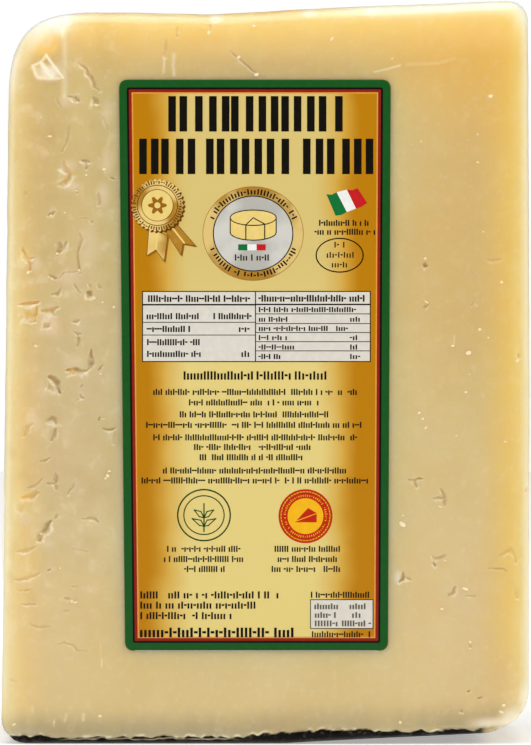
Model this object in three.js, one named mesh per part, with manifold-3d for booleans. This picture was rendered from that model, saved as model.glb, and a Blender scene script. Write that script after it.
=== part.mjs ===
// A chunk of hard sheep's-milk cheese, standing upright on its rind, with a tall printed label
// stuck to its front face.
//
// Millimetres, +Z up. The front face looks towards -Y. The origin is the middle of the base.
// The block is one closed solid: a front outline with four different corners is carried back
// through the depth, its front and back edges are rounded over, and the pockets, slits and
// edge nicks of the paste are cut into it. The label is a thin sheet just clear of the face.

import * as THREE from 'three';
import { mergeVertices } from 'three/addons/utils/BufferGeometryUtils.js';
import Module from 'manifold-3d';

const manifold = await Module();
manifold.setup();

// ---- Driving dimensions -------------------------------------------------------------------

const WIDTH = 104;
const HEIGHT = 146;
const DEPTH = 58;
const HALF_WIDTH = WIDTH / 2;
const HALF_DEPTH = DEPTH / 2;
const FRONT_Y = -HALF_DEPTH;

// The block leans in slightly towards the top, and its top edge climbs from left to right.
const BASE_LEFT = -51.9;
const TOP_LEFT = -50.5;
const TOP_RIGHT = 51.7;
const TOP_EDGE_LEFT = 143.8;
const TOP_EDGE_DIP = 143.4;
const TOP_DIP_X = -11;

// The base is level up to here, then lifts towards the lower right corner.
const BASE_LEVEL_END = 14;
const BASE_LIFT = 2;
const BASE_LIFT_X = 43.5;

// Each corner of the front outline, as the length of its rounding along the two edges.
const CORNER_BASE_LEFT = { across: 4.9, up: 4.6 };
const CORNER_BASE_RIGHT = { across: 8.4, up: 8.6 };
const CORNER_TOP_RIGHT = { across: 3.7, up: 3.6 };
const CORNER_TOP_LEFT = { across: 16, up: 16.6 };
const CORNER_HANDLE = 0.56;
const CORNER_TOP_LEFT_HANDLE = 0.72;

// Rounding from the faces over to the walls. The base edge is crisper than the others.
const EDGE_ROUND = 4.2;
const BASE_EDGE_SHARE = 0.45;
const FACE_CROWN = 0.8;
const CROWN_REACH = 20;

// Gentle unevenness of the walls and of the faces outside the label.
const WALL_WAVE = 0.3;
const FACE_WAVE = 0.2;
const WAVE_PITCH = 34;

const LABEL = { left: -28.7, right: 24.65, bottomLeft: -27.5, bottomRight: 24.1, top: 130.4, bottom: 18.4 };
const LABEL_CORNER = 1.8;
const LABEL_THICKNESS = 0.25;
const LABEL_GAP = 0.1;

// Fineness of the mesh.
const STRAIGHT_STEP = 7;
const CORNER_STEPS = 6;
const CORNER_LONGEST = 30;
const EDGE_STEPS = 4;
const WALL_STEPS = 6;
const FACE_RINGS = [0.9, 0.72, 0.5, 0.26];

// Openings in the paste of the front face, each along a broken line of x, z points; breadth
// across the line, and depth into the paste.
const POCKETS = [
  {
    line: [[-36.7, 133.7], [-35, 132.5], [-34, 131], [-33.4, 129.1], [-32.6, 128.3]],
    breadth: 0.94, depth: 0.5,
  },
  { line: [[-33.6, 126.6], [-32.8, 125.7]], breadth: 1.1, depth: 0.6 },
  { line: [[-38.4, 127.3], [-37.3, 127.1], [-36.4, 126.3]], breadth: 0.99, depth: 0.6 },
  {
    line: [[-39.5, 114.4], [-39.3, 113.1], [-38.1, 112], [-38.7, 111], [-39.9, 109.8]],
    breadth: 1.5, depth: 0.7,
  },
  { line: [[-35.8, 114.7], [-34.7, 114.5]], breadth: 1.3, depth: 0.7 },
  { line: [[-32.6, 108], [-32.5, 105.9]], breadth: 0.94, depth: 0.5 },
  { line: [[-40.5, 98.6], [-40.2, 97.6], [-40.6, 96.4]], breadth: 1.4, depth: 0.8 },
  { line: [[-47.7, 97], [-46.6, 95.3], [-46.2, 94.4], [-46.2, 93.2]], breadth: 1, depth: 0.8 },
  { line: [[-34.7, 88.9], [-34, 88.2]], breadth: 1.6, depth: 0.7 },
  { line: [[-48.3, 86.3], [-46.5, 86.6], [-44.7, 86.8]], breadth: 0.94, depth: 0.9 },
  { line: [[-44.8, 86.7], [-45, 85.1], [-45.2, 83.1]], breadth: 0.94, depth: 0.9 },
  { line: [[-46.7, 85], [-45.8, 84.4]], breadth: 2.9, depth: 0.5 },
  { line: [[-43.7, 85.1], [-42.4, 85.2], [-41.1, 86]], breadth: 1.4, depth: 0.8 },
  { line: [[-42, 85.4], [-41.5, 84.1]], breadth: 1.1, depth: 0.6 },
  { line: [[-43, 82.5], [-42.6, 82]], breadth: 1.3, depth: 0.7 },
  { line: [[-34.2, 77.3], [-34.1, 75.8], [-34.3, 74.6], [-34.8, 73.6]], breadth: 1.4, depth: 0.9 },
  { line: [[-34.7, 73.7], [-36.1, 73.3], [-37.7, 73.5], [-38.9, 73.4]], breadth: 0.94, depth: 0.7 },
  { line: [[-38.6, 73.2], [-37.9, 72.8]], breadth: 1.1, depth: 0.8 },
  { line: [[-42.3, 72], [-41.3, 71.7], [-40.6, 70.5], [-40.2, 69.2]], breadth: 1.1, depth: 1 },
  { line: [[-42, 70.7], [-41.6, 70.1]], breadth: 2.1, depth: 0.5 },
  { line: [[-42.3, 63.8], [-41.6, 64], [-41.2, 63.3]], breadth: 2, depth: 0.8 },
  { line: [[-41.2, 62], [-41.5, 60.9], [-41.8, 59.6]], breadth: 0.99, depth: 0.6 },
  { line: [[-45.9, 63], [-46.6, 62.3], [-47, 61.5], [-47.2, 60.7]], breadth: 1.1, depth: 0.6 },
  { line: [[-45, 49.3], [-46.3, 48.6], [-47.6, 48.3]], breadth: 1.4, depth: 0.7 },
  { line: [[-48.3, 47], [-47.9, 46.2]], breadth: 2.2, depth: 0.5 },
  { line: [[-42.1, 43.7], [-42.9, 42.9], [-43.3, 41.8]], breadth: 1.6, depth: 0.8 },
  { line: [[-43.4, 41.9], [-44.1, 40.9], [-44.5, 40.1]], breadth: 1.1, depth: 0.8 },
  { line: [[-48.6, 37.9], [-46.9, 38.3], [-45.2, 38.9]], breadth: 0.94, depth: 0.5 },
  { line: [[-17.3, 140.7], [-17.2, 138.9]], breadth: 0.99, depth: 0.5 },
];

// Narrow slits and short cracks, given the same way.
const SLITS = [
  { line: [[-35.3, 114.4], [-35, 113]], breadth: 0.9, depth: 0.5 },
  { line: [[-30.4, 111.3], [-29.4, 110.9]], breadth: 0.7, depth: 0.5 },
  { line: [[-42.6, 104], [-41.6, 104.5]], breadth: 0.82, depth: 0.5 },
  { line: [[-34, 103], [-33.8, 102.5]], breadth: 0.72, depth: 0.5 },
  { line: [[-38.9, 98.7], [-39.5, 97.8], [-40.2, 96.9]], breadth: 0.82, depth: 0.5 },
  { line: [[-36.2, 100.4], [-36, 99.2], [-36.9, 96.6], [-36.5, 92.6]], breadth: 0.7, depth: 0.5 },
  { line: [[-46.6, 95.3], [-45.5, 95.5]], breadth: 0.7, depth: 0.6 },
  { line: [[-42.3, 92.1], [-41.8, 92], [-41, 91.4]], breadth: 0.82, depth: 0.5 },
  { line: [[-37.4, 90.2], [-36.8, 89.3], [-36.2, 88.4]], breadth: 0.7, depth: 0.5 },
  { line: [[-32.9, 90.3], [-32.3, 89.5]], breadth: 0.7, depth: 0.5 },
  { line: [[-41.8, 88.2], [-40.8, 88.5], [-40.1, 89.5]], breadth: 0.7, depth: 0.5 },
  { line: [[-47.3, 82.8], [-45.3, 83]], breadth: 0.7, depth: 0.5 },
  { line: [[-37.5, 83], [-36.5, 83.3]], breadth: 0.82, depth: 0.5 },
  { line: [[-37.4, 80.9], [-36, 80.7]], breadth: 0.72, depth: 0.5 },
  { line: [[-36.7, 80.7], [-36.7, 79.5], [-36.7, 78.3]], breadth: 0.77, depth: 0.5 },
  { line: [[-31.8, 74.4], [-32.3, 73.8], [-32.7, 73.4]], breadth: 0.7, depth: 0.5 },
  { line: [[-35.9, 70.5], [-36.2, 70.1]], breadth: 0.7, depth: 0.5 },
  { line: [[-36.2, 68.8], [-36.1, 68.2], [-35.6, 67.9]], breadth: 0.7, depth: 0.5 },
  { line: [[-36.1, 68.1], [-37, 67.6]], breadth: 0.7, depth: 0.5 },
  { line: [[-32.5, 64.4], [-32.7, 63.5]], breadth: 0.7, depth: 0.5 },
  { line: [[-31.9, 62], [-31, 61.8], [-29.9, 61.8], [-29.4, 62.2]], breadth: 0.7, depth: 0.5 },
  { line: [[-44.2, 55.5], [-43.2, 55.7], [-42.1, 56.2]], breadth: 0.7, depth: 0.5 },
  { line: [[-41, 53.2], [-41.1, 51.4]], breadth: 0.82, depth: 0.5 },
  { line: [[-41.1, 51.3], [-42.8, 51.3]], breadth: 0.7, depth: 0.5 },
  { line: [[-41.3, 51.2], [-40.9, 50]], breadth: 0.72, depth: 0.5 },
  { line: [[-44.5, 40.1], [-43.6, 39.8]], breadth: 0.7, depth: 0.5 },
  { line: [[-35.7, 44.3], [-34.7, 44.6], [-33.6, 44.6], [-32.6, 43.7]], breadth: 0.7, depth: 0.5 },
  { line: [[-42.8, 34.1], [-42.1, 34.4]], breadth: 0.7, depth: 0.5 },
  { line: [[-48.9, 32.3], [-46.5, 32.9], [-44.4, 33.5]], breadth: 0.9, depth: 0.5 },
  { line: [[-46.2, 23.7], [-44.4, 23.2], [-42.5, 23]], breadth: 0.77, depth: 0.5 },
  {
    line: [[-40.6, 19.7], [-39.4, 20.2], [-37.7, 19.5], [-36.8, 18.5], [-34.9, 18.2]],
    breadth: 0.72, depth: 0.5,
  },
  { line: [[-19.3, 138], [-19.5, 136.4], [-19.6, 134.9]], breadth: 0.9, depth: 0.5 },
  { line: [[-10.8, 141.3], [-11, 140.1]], breadth: 0.82, depth: 0.5 },
  { line: [[-7.1, 136.2], [-4.9, 134.5], [-2.8, 132.6], [-1.2, 131.2]], breadth: 0.7, depth: 0.5 },
  { line: [[31, 94.2], [31.7, 94]], breadth: 0.9, depth: 0.6 },
  { line: [[31.1, 86], [31.9, 86.1]], breadth: 0.77, depth: 0.5 },
  { line: [[40.8, 86.7], [40.6, 86]], breadth: 0.72, depth: 0.5 },
  { line: [[49.8, 76.6], [49.9, 76.1]], breadth: 0.72, depth: 0.5 },
  { line: [[28.2, 52], [29.4, 51.8], [30.7, 52.2]], breadth: 0.72, depth: 0.6 },
  { line: [[29.4, 51.7], [29.7, 50.7]], breadth: 0.86, depth: 0.6 },
  { line: [[33.1, 48.2], [34.1, 48.3], [35.1, 48.5]], breadth: 0.7, depth: 0.5 },
  { line: [[34.5, 50.1], [35.2, 49.4], [35.1, 47]], breadth: 0.72, depth: 0.5 },
  { line: [[32.7, 37.2], [33.3, 36.6], [34.3, 36.8], [35.3, 37.1]], breadth: 0.7, depth: 0.5 },
  { line: [[32.9, 35.6], [33.3, 35.1]], breadth: 0.82, depth: 0.5 },
  { line: [[27.2, 33.7], [27, 32.7], [26.4, 32]], breadth: 0.77, depth: 0.6 },
  { line: [[27.3, 32.9], [28.7, 32.4]], breadth: 0.7, depth: 0.5 },
  { line: [[37.3, 31], [37, 29.9], [36.2, 29.4]], breadth: 0.82, depth: 0.5 },
  { line: [[46, 37.1], [48.2, 38.2], [49.4, 36.6], [49.1, 35.7]], breadth: 0.9, depth: 0.5 },
  { line: [[39.8, 10.3], [40, 10.7]], breadth: 0.7, depth: 0.5 },
  { line: [[41.6, 8.9], [42.5, 9.3]], breadth: 0.7, depth: 0.5 },
  { line: [[38.4, 6.3], [38.7, 6.5]], breadth: 0.7, depth: 0.5 },
];

// How far the lens of each stretch runs past the stretch, as a share of the opening's breadth.
const STRETCH_OVERLAP = 0.9;

// The faces that the front view hides are cut through the same paste, so they have the same
// kind of openings, spread by a repeatable draw. turn: degrees about Z from the front face;
// across: half the width that holds openings; low and high: the heights between which they lie.
const HIDDEN_FACES = [
  { side: 'right', turn: 90, count: 9, across: 19, low: 14, high: 132 },
  { side: 'back', turn: 180, count: 20, across: 43, low: 12, high: 132 },
  { side: 'left', turn: 270, count: 11, across: 19, low: 14, high: 122 },
];
const HIDDEN_SEED = 31;
const HIDDEN_LENGTH = { min: 1.8, max: 4.8 };
const HIDDEN_BREADTH_SHARE = { min: 0.3, max: 0.65 };
const HIDDEN_DEPTH = { min: 0.6, max: 1.2 };

// Ragged nicks where the paste breaks away from the rind along the front of the base.
const NICKS = { count: 13, start: -44, end: 40, height: 1.5, seed: 7 };

const PASTE_COLOUR = 0xd8bd84;
const LABEL_COLOUR = 0xd9b75c;

// ---- Small helpers ------------------------------------------------------------------------

const smooth = (t) => THREE.MathUtils.smoothstep(t, 0, 1);

// Repeatable draws between 0 and 1.
function seededDraws(seed) {
  let state = seed;
  return () => {
    state = (state * 16807) % 2147483647;
    return state / 2147483647;
  };
}

// A slow wave between -1 and 1 over space.
function wave(x, y, z) {
  const k = (2 * Math.PI) / WAVE_PITCH;
  const across = Math.sin(k * x + 0.7 * Math.sin(k * z));
  const upward = Math.sin(0.8 * k * z + 1.3);
  const backward = Math.sin(1.3 * k * y + 0.6);
  return (across + upward + backward) / 3;
}

function solidFrom(geometry) {
  const bare = geometry.clone();
  bare.deleteAttribute('normal');
  bare.deleteAttribute('uv');
  const merged = mergeVertices(bare, 1e-4);
  return new manifold.Manifold(new manifold.Mesh({
    numProp: 3,
    vertProperties: new Float32Array(merged.attributes.position.array),
    triVerts: new Uint32Array(merged.index.array),
  }));
}

function geometryFrom(solid) {
  const mesh = solid.getMesh();
  const geometry = new THREE.BufferGeometry();
  geometry.setAttribute('position', new THREE.BufferAttribute(new Float32Array(mesh.vertProperties), 3));
  geometry.setIndex(new THREE.BufferAttribute(new Uint32Array(mesh.triVerts), 1));
  geometry.computeVertexNormals();
  return geometry;
}

// ---- The block ----------------------------------------------------------------------------

// The front outline as curves in the x, z plane, anticlockwise from the base's left end.
function frontOutline() {
  const path = new THREE.Path();
  const baseLeftX = BASE_LEFT + CORNER_BASE_LEFT.across;
  path.moveTo(baseLeftX, 0);
  path.lineTo(BASE_LEVEL_END, 0);
  const liftHandle = (BASE_LIFT_X - BASE_LEVEL_END) / 2;
  path.bezierCurveTo(
    BASE_LEVEL_END + liftHandle, 0.2,
    BASE_LIFT_X - liftHandle, 0.7 * BASE_LIFT,
    BASE_LIFT_X, BASE_LIFT,
  );
  const baseRight = HALF_WIDTH - 0.1;
  const rightStart = BASE_LIFT + CORNER_BASE_RIGHT.up;
  path.bezierCurveTo(
    BASE_LIFT_X + CORNER_HANDLE * CORNER_BASE_RIGHT.across, BASE_LIFT + 0.8,
    baseRight, rightStart - CORNER_HANDLE * CORNER_BASE_RIGHT.up,
    baseRight, rightStart,
  );
  path.lineTo(HALF_WIDTH, HEIGHT / 2);
  path.lineTo(TOP_RIGHT, HEIGHT - CORNER_TOP_RIGHT.up);
  path.bezierCurveTo(
    TOP_RIGHT, HEIGHT - (1 - CORNER_HANDLE) * CORNER_TOP_RIGHT.up,
    TOP_RIGHT - (1 - CORNER_HANDLE) * CORNER_TOP_RIGHT.across, HEIGHT,
    TOP_RIGHT - CORNER_TOP_RIGHT.across, HEIGHT,
  );
  const topLeftX = TOP_LEFT + CORNER_TOP_LEFT.across;
  path.bezierCurveTo(HALF_WIDTH / 2, HEIGHT - 0.6, 0.1 * WIDTH, TOP_EDGE_DIP + 1.2, TOP_DIP_X, TOP_EDGE_DIP);
  path.quadraticCurveTo((TOP_DIP_X + topLeftX) / 2, TOP_EDGE_LEFT, topLeftX, TOP_EDGE_LEFT);
  path.bezierCurveTo(
    topLeftX - CORNER_TOP_LEFT_HANDLE * CORNER_TOP_LEFT.across, TOP_EDGE_LEFT,
    TOP_LEFT, TOP_EDGE_LEFT - (1 - CORNER_TOP_LEFT_HANDLE) * CORNER_TOP_LEFT.up,
    TOP_LEFT, TOP_EDGE_LEFT - CORNER_TOP_LEFT.up,
  );
  path.lineTo(BASE_LEFT, CORNER_BASE_LEFT.up);
  path.bezierCurveTo(
    BASE_LEFT, (1 - CORNER_HANDLE) * CORNER_BASE_LEFT.up,
    baseLeftX - CORNER_HANDLE * CORNER_BASE_LEFT.across, 0,
    baseLeftX, 0,
  );
  return path;
}

// Points round the outline: short steps in the corners, long ones along the edges.
function outlinePoints() {
  const points = [];
  for (const curve of frontOutline().curves) {
    const length = curve.getLength();
    const isCorner = !curve.isLineCurve && length < CORNER_LONGEST;
    const steps = Math.max(Math.ceil(length / STRAIGHT_STEP), isCorner ? CORNER_STEPS : 1);
    for (let i = 0; i < steps; i += 1) points.push(curve.getPointAt(i / steps));
  }
  return points;
}

// How far the faces fall back outside the label, where they are not dead flat.
function faceFall(x, z) {
  const midX = (LABEL.left + LABEL.right) / 2;
  const midZ = (LABEL.top + LABEL.bottom) / 2;
  const besideX = Math.max(0, Math.abs(x - midX) - (LABEL.right - LABEL.left) / 2 - 1);
  const besideZ = Math.max(0, Math.abs(z - midZ) - (LABEL.top - LABEL.bottom) / 2 - 1);
  const share = smooth(Math.hypot(besideX, besideZ) / CROWN_REACH);
  return share * (FACE_CROWN + FACE_WAVE * (1 + wave(x, 0, z)));
}

// One point of the outline moved in from its edge, by less along the base, and back to depth y.
function blockPoint(point, inset, y, wallShare) {
  const midZ = HEIGHT / 2;
  const below = smooth((midZ - point.y) / midZ);
  const insetZ = inset * THREE.MathUtils.lerp(1, BASE_EDGE_SHARE, below);
  const swell = wallShare * WALL_WAVE * wave(point.x, y, point.y) * smooth(point.y / 12);
  const x = point.x * (1 - (inset + swell) / HALF_WIDTH);
  const z = midZ + (point.y - midZ) * (1 - insetZ / midZ) - swell * ((point.y - midZ) / midZ);
  return new THREE.Vector3(x, y, z);
}

// Closed rings of points from the middle of the front face, over the walls, to the back's middle.
function blockRings() {
  const outline = outlinePoints();
  const faceRing = (share, side) => outline.map((point) => {
    const edge = blockPoint(point, EDGE_ROUND, 0, 0);
    const x = edge.x * share;
    const z = HEIGHT / 2 + (edge.z - HEIGHT / 2) * share;
    return new THREE.Vector3(x, side * (HALF_DEPTH - faceFall(x, z)), z);
  });
  const edgeRing = (angle, side) => outline.map((point) => {
    const flat = blockPoint(point, EDGE_ROUND * (1 - Math.sin(angle)), 0, 0);
    const back = EDGE_ROUND * (1 - Math.cos(angle)) + faceFall(flat.x, flat.z) * Math.cos(angle);
    return blockPoint(point, EDGE_ROUND * (1 - Math.sin(angle)), side * (HALF_DEPTH - back), 0);
  });
  const wallRing = (share) => outline.map((point) => {
    const y = THREE.MathUtils.lerp(FRONT_Y + EDGE_ROUND, HALF_DEPTH - EDGE_ROUND, share);
    return blockPoint(point, 0, y, smooth(4 * share * (1 - share)));
  });
  const rings = [...FACE_RINGS].reverse().map((share) => faceRing(share, -1));
  for (let i = 0; i < EDGE_STEPS; i += 1) rings.push(edgeRing((Math.PI / 2) * (i / EDGE_STEPS), -1));
  for (let i = 0; i <= WALL_STEPS; i += 1) rings.push(wallRing(i / WALL_STEPS));
  for (let i = EDGE_STEPS - 1; i >= 0; i -= 1) rings.push(edgeRing((Math.PI / 2) * (i / EDGE_STEPS), 1));
  for (const share of FACE_RINGS) rings.push(faceRing(share, 1));
  return rings;
}

function blockGeometry() {
  const rings = blockRings();
  const count = rings[0].length;
  const frontMiddle = new THREE.Vector3(0, FRONT_Y, HEIGHT / 2);
  const backMiddle = new THREE.Vector3(0, HALF_DEPTH, HEIGHT / 2);
  const vertices = [frontMiddle, ...rings.flat(), backMiddle];
  const at = (ring, i) => 1 + ring * count + (i % count);
  const last = vertices.length - 1;
  const faces = [];
  for (let i = 0; i < count; i += 1) {
    faces.push(0, at(0, i), at(0, i + 1));
    for (let ring = 0; ring + 1 < rings.length; ring += 1) {
      faces.push(at(ring, i), at(ring + 1, i), at(ring + 1, i + 1));
      faces.push(at(ring, i), at(ring + 1, i + 1), at(ring, i + 1));
    }
    faces.push(last, at(rings.length - 1, i + 1), at(rings.length - 1, i));
  }
  const geometry = new THREE.BufferGeometry().setFromPoints(vertices);
  geometry.setIndex(faces);
  return geometry;
}

// The shape of a cutter: a faceted lens whose widest section lies on the front face. lean: slope
// of its long axis in degrees, rising to the right.
function lens({ length, breadth, depth, lean }, facets) {
  const shape = facets === 'round' ? new THREE.IcosahedronGeometry(1, 0) : new THREE.OctahedronGeometry(1, 0);
  shape.scale(length / 2, depth, breadth / 2);
  shape.rotateY(-THREE.MathUtils.degToRad(lean));
  return shape;
}

// The cutters for an opening of the front face: one lens along each stretch of its line, longer
// than the stretch so that neighbouring lenses overlap.
function frontCutters({ line, breadth, depth }, facets) {
  return line.slice(1).map(([endX, endZ], i) => {
    const [startX, startZ] = line[i];
    const x = (startX + endX) / 2;
    const z = (startZ + endZ) / 2;
    const length = Math.hypot(endX - startX, endZ - startZ) + STRETCH_OVERLAP * breadth;
    const lean = THREE.MathUtils.radToDeg(Math.atan2(endZ - startZ, endX - startX));
    const shape = lens({ length, breadth, depth, lean }, facets);
    return solidFrom(shape.translate(x, FRONT_Y + faceFall(x, z), z));
  });
}

// Where a hidden face lies at a height z and a distance across it.
function hiddenFacePoint(side, across, z) {
  const share = z / HEIGHT;
  if (side === 'right') return new THREE.Vector3(HALF_WIDTH - 0.1, across, z);
  if (side === 'left') return new THREE.Vector3(THREE.MathUtils.lerp(BASE_LEFT, TOP_LEFT, share), across, z);
  return new THREE.Vector3(across, HALF_DEPTH - faceFall(across, z), z);
}

function hiddenCutters() {
  const draw = seededDraws(HIDDEN_SEED);
  const between = ({ min, max }) => THREE.MathUtils.lerp(min, max, draw());
  const cutters = [];
  for (const { side, turn, count, across, low, high } of HIDDEN_FACES) {
    for (let i = 0; i < count; i += 1) {
      const z = THREE.MathUtils.lerp(low, high, (i + draw()) / count);
      const spot = hiddenFacePoint(side, across * (2 * draw() - 1), z);
      const length = between(HIDDEN_LENGTH);
      const breadth = length * between(HIDDEN_BREADTH_SHARE);
      const opening = { length, breadth, depth: between(HIDDEN_DEPTH), lean: 180 * draw() - 90 };
      const cutter = lens(opening, 'round').rotateZ(THREE.MathUtils.degToRad(turn));
      cutters.push(solidFrom(cutter.translate(spot.x, spot.y, spot.z)));
    }
  }
  return cutters;
}

function nickCutters() {
  const draw = seededDraws(NICKS.seed);
  const cutters = [];
  for (let i = 0; i < NICKS.count; i += 1) {
    const share = (i + 0.8 * draw()) / NICKS.count;
    const x = THREE.MathUtils.lerp(NICKS.start, NICKS.end, share);
    const lift = BASE_LIFT * smooth((x - BASE_LEVEL_END) / (BASE_LIFT_X - BASE_LEVEL_END));
    const nick = new THREE.OctahedronGeometry(1, 0);
    nick.scale(1.2 + 1.6 * draw(), 1.4, 0.4 + 0.4 * draw());
    nick.rotateX(-Math.PI / 4);
    nick.translate(x, FRONT_Y + 0.9, NICKS.height + lift);
    cutters.push(solidFrom(nick));
  }
  return cutters;
}

function cheese() {
  const cutters = [
    ...POCKETS.flatMap((pocket) => frontCutters(pocket, 'round')),
    ...SLITS.flatMap((slit) => frontCutters(slit, 'sharp')),
    ...hiddenCutters(),
    ...nickCutters(),
  ];
  const openings = cutters.reduce((all, cutter) => all.add(cutter));
  const geometry = geometryFrom(solidFrom(blockGeometry()).subtract(openings));
  const material = new THREE.MeshStandardMaterial({ color: PASTE_COLOUR, roughness: 0.38, metalness: 0 });
  const mesh = new THREE.Mesh(geometry, material);
  mesh.name = 'cheese';
  return mesh;
}

// ---- The label ----------------------------------------------------------------------------

function label() {
  const { left, right, bottomLeft, bottomRight, top, bottom } = LABEL;
  const r = LABEL_CORNER;
  const shape = new THREE.Shape();
  shape.moveTo(bottomLeft + r, bottom);
  shape.lineTo(bottomRight - r, bottom);
  shape.quadraticCurveTo(bottomRight, bottom, bottomRight, bottom + r);
  shape.lineTo(right, top - r);
  shape.quadraticCurveTo(right, top, right - r, top);
  shape.lineTo(left + r, top);
  shape.quadraticCurveTo(left, top, left, top - r);
  shape.lineTo(bottomLeft, bottom + r);
  shape.quadraticCurveTo(bottomLeft, bottom, bottomLeft + r, bottom);
  const sheet = { depth: LABEL_THICKNESS, bevelEnabled: false, curveSegments: 5 };
  const geometry = new THREE.ExtrudeGeometry(shape, sheet);
  geometry.rotateX(Math.PI / 2);
  const material = new THREE.MeshStandardMaterial({ color: LABEL_COLOUR, roughness: 0.3, metalness: 0.1 });
  const mesh = new THREE.Mesh(geometry, material);
  mesh.name = 'label';
  mesh.position.y = FRONT_Y - LABEL_GAP;
  return mesh;
}

const chunk = new THREE.Group();
chunk.add(cheese(), label());

export default chunk;
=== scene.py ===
"""Dresses a chunk of hard sheep's-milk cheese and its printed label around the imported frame.

The chunk is a fine mesh of the same form as the frame's block, with its pockets, slits and film
creases as real relief. The label is a stack of thin printed layers. All sizes in the classes are
millimetres in the frame's axes: +X right, +Z up, the labelled face towards -Y.
"""

from __future__ import annotations

import logging
import math
from dataclasses import dataclass, field
from enum import Enum

import bmesh
import bpy
import numpy as np
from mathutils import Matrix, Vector


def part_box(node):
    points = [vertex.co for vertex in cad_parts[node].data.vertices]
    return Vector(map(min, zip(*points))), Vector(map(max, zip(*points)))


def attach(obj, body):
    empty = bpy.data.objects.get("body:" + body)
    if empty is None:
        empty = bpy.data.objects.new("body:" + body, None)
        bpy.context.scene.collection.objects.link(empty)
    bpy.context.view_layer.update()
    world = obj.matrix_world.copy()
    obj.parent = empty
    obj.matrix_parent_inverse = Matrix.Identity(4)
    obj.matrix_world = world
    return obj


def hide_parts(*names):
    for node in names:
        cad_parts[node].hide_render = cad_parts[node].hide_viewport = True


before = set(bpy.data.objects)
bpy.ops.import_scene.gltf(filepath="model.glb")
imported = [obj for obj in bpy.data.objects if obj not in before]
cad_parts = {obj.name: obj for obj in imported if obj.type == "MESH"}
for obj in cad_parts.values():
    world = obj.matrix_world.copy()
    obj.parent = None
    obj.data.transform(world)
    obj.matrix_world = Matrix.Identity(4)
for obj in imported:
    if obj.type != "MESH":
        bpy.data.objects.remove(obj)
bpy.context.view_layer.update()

log = logging.getLogger("cheese")

MM = 0.001
BODY = "root"

Point = tuple[float, float]
Triple = tuple[float, float, float]
Colour = Triple
Array = np.ndarray
Socket = bpy.types.NodeSocket
Material = bpy.types.Material
Piece = bpy.types.Object


def srgb(red: int, green: int, blue: int) -> Colour:
    """A screen colour as linear light.

    Args:
        red: its red, from 0 to 255.
        green: its green.
        blue: its blue.

    Returns:
        The three channels, from 0 to 1.
    """

    def linear(value: float) -> float:
        """One channel, from 0 to 1, as linear light."""
        return value / 12.92 if value <= 0.04045 else ((value + 0.055) / 1.055) ** 2.4

    return linear(red / 255), linear(green / 255), linear(blue / 255)


def smooth(share: Array | float) -> Array:
    """An eased share: 0 below 0, 1 above 1, level at both ends."""
    held = np.clip(share, 0.0, 1.0)
    return held * held * (3 - 2 * held)


def rise(value: Array | float, start: float, run: float) -> Array:
    """An eased climb from 0, where the value is start, to 1 when it is a run further on."""
    return smooth((value - start) / run)


def bell(off: Array, width: float) -> Array:
    """A soft peak: 1 at no distance, falling away over a width."""
    return np.exp(-((off / width) ** 2))


class SeededDraws:
    """Repeatable draws between 0 and 1, the same ones that spread the frame's hidden openings."""

    FACTOR = 16807
    MODULUS = 2147483647

    def __init__(self, seed: int) -> None:
        """Starts the draws at a seed."""
        self.state = seed

    def draw(self) -> float:
        """The next draw, between 0 and 1."""
        self.state = (self.state * self.FACTOR) % self.MODULUS
        return self.state / self.MODULUS

    def between(self, low: float, high: float) -> float:
        """The next draw, between two values."""
        return low + (high - low) * self.draw()


LATTICE_PRIMES = (73856093, 19349663, 83492791)
SEED_PRIME = 2654435761
MIXING_PRIME = 1274126177


def lattice_noise(points: Array, pitch: float, seed: int) -> Array:
    """Smooth noise between -1 and 1 over space, from random values on a square lattice.

    Args:
        points: one place a row, in millimetres.
        pitch: the lattice's spacing, in millimetres.
        seed: picks the random values.

    Returns:
        One value for each place.
    """
    scaled = points / pitch
    cell = np.floor(scaled).astype(np.int64)
    share = smooth(scaled - cell)
    total = np.zeros(len(points))
    for corner in range(8):
        step = np.array([corner & 1, (corner >> 1) & 1, (corner >> 2) & 1])
        key = ((cell + step) * np.array(LATTICE_PRIMES)).sum(1) + seed * SEED_PRIME
        key = (key ^ (key >> 13)) * MIXING_PRIME
        value = ((key ^ (key >> 16)) & 0xFFFF) / 32767.5 - 1
        weight = np.prod(np.where(step, share, 1 - share), axis=1)
        total += weight * value
    return total


# ---- Finishes ----


class Wiring:
    """A node tree, with a short call that adds a node and feeds its inputs."""

    def __init__(self, tree: bpy.types.NodeTree) -> None:
        """Keeps the tree that the nodes go into."""
        self.tree = tree

    def feed(self, socket: Socket, value: object) -> None:
        """Links an output to an input, or sets the input's own value.

        Args:
            socket: the input.
            value: the output, or the plain value.
        """
        if isinstance(value, bpy.types.NodeSocket):
            self.tree.links.new(value, socket)
        elif isinstance(value, tuple) and len(value) == 3 and socket.type == "RGBA":
            socket.default_value = (*value, 1.0)
        else:
            socket.default_value = value

    def node(self, kind: str, feeds: dict | None = None, **settings: object) -> bpy.types.Node:
        """Adds a node.

        Args:
            kind: the node's type name.
            feeds: what goes into its inputs, by their names or numbers.
            settings: its properties.

        Returns:
            The new node.
        """
        made = self.tree.nodes.new(kind)
        for name, value in settings.items():
            setattr(made, name, value)
        for name, value in (feeds or {}).items():
            self.feed(made.inputs[name], value)
        return made


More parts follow.
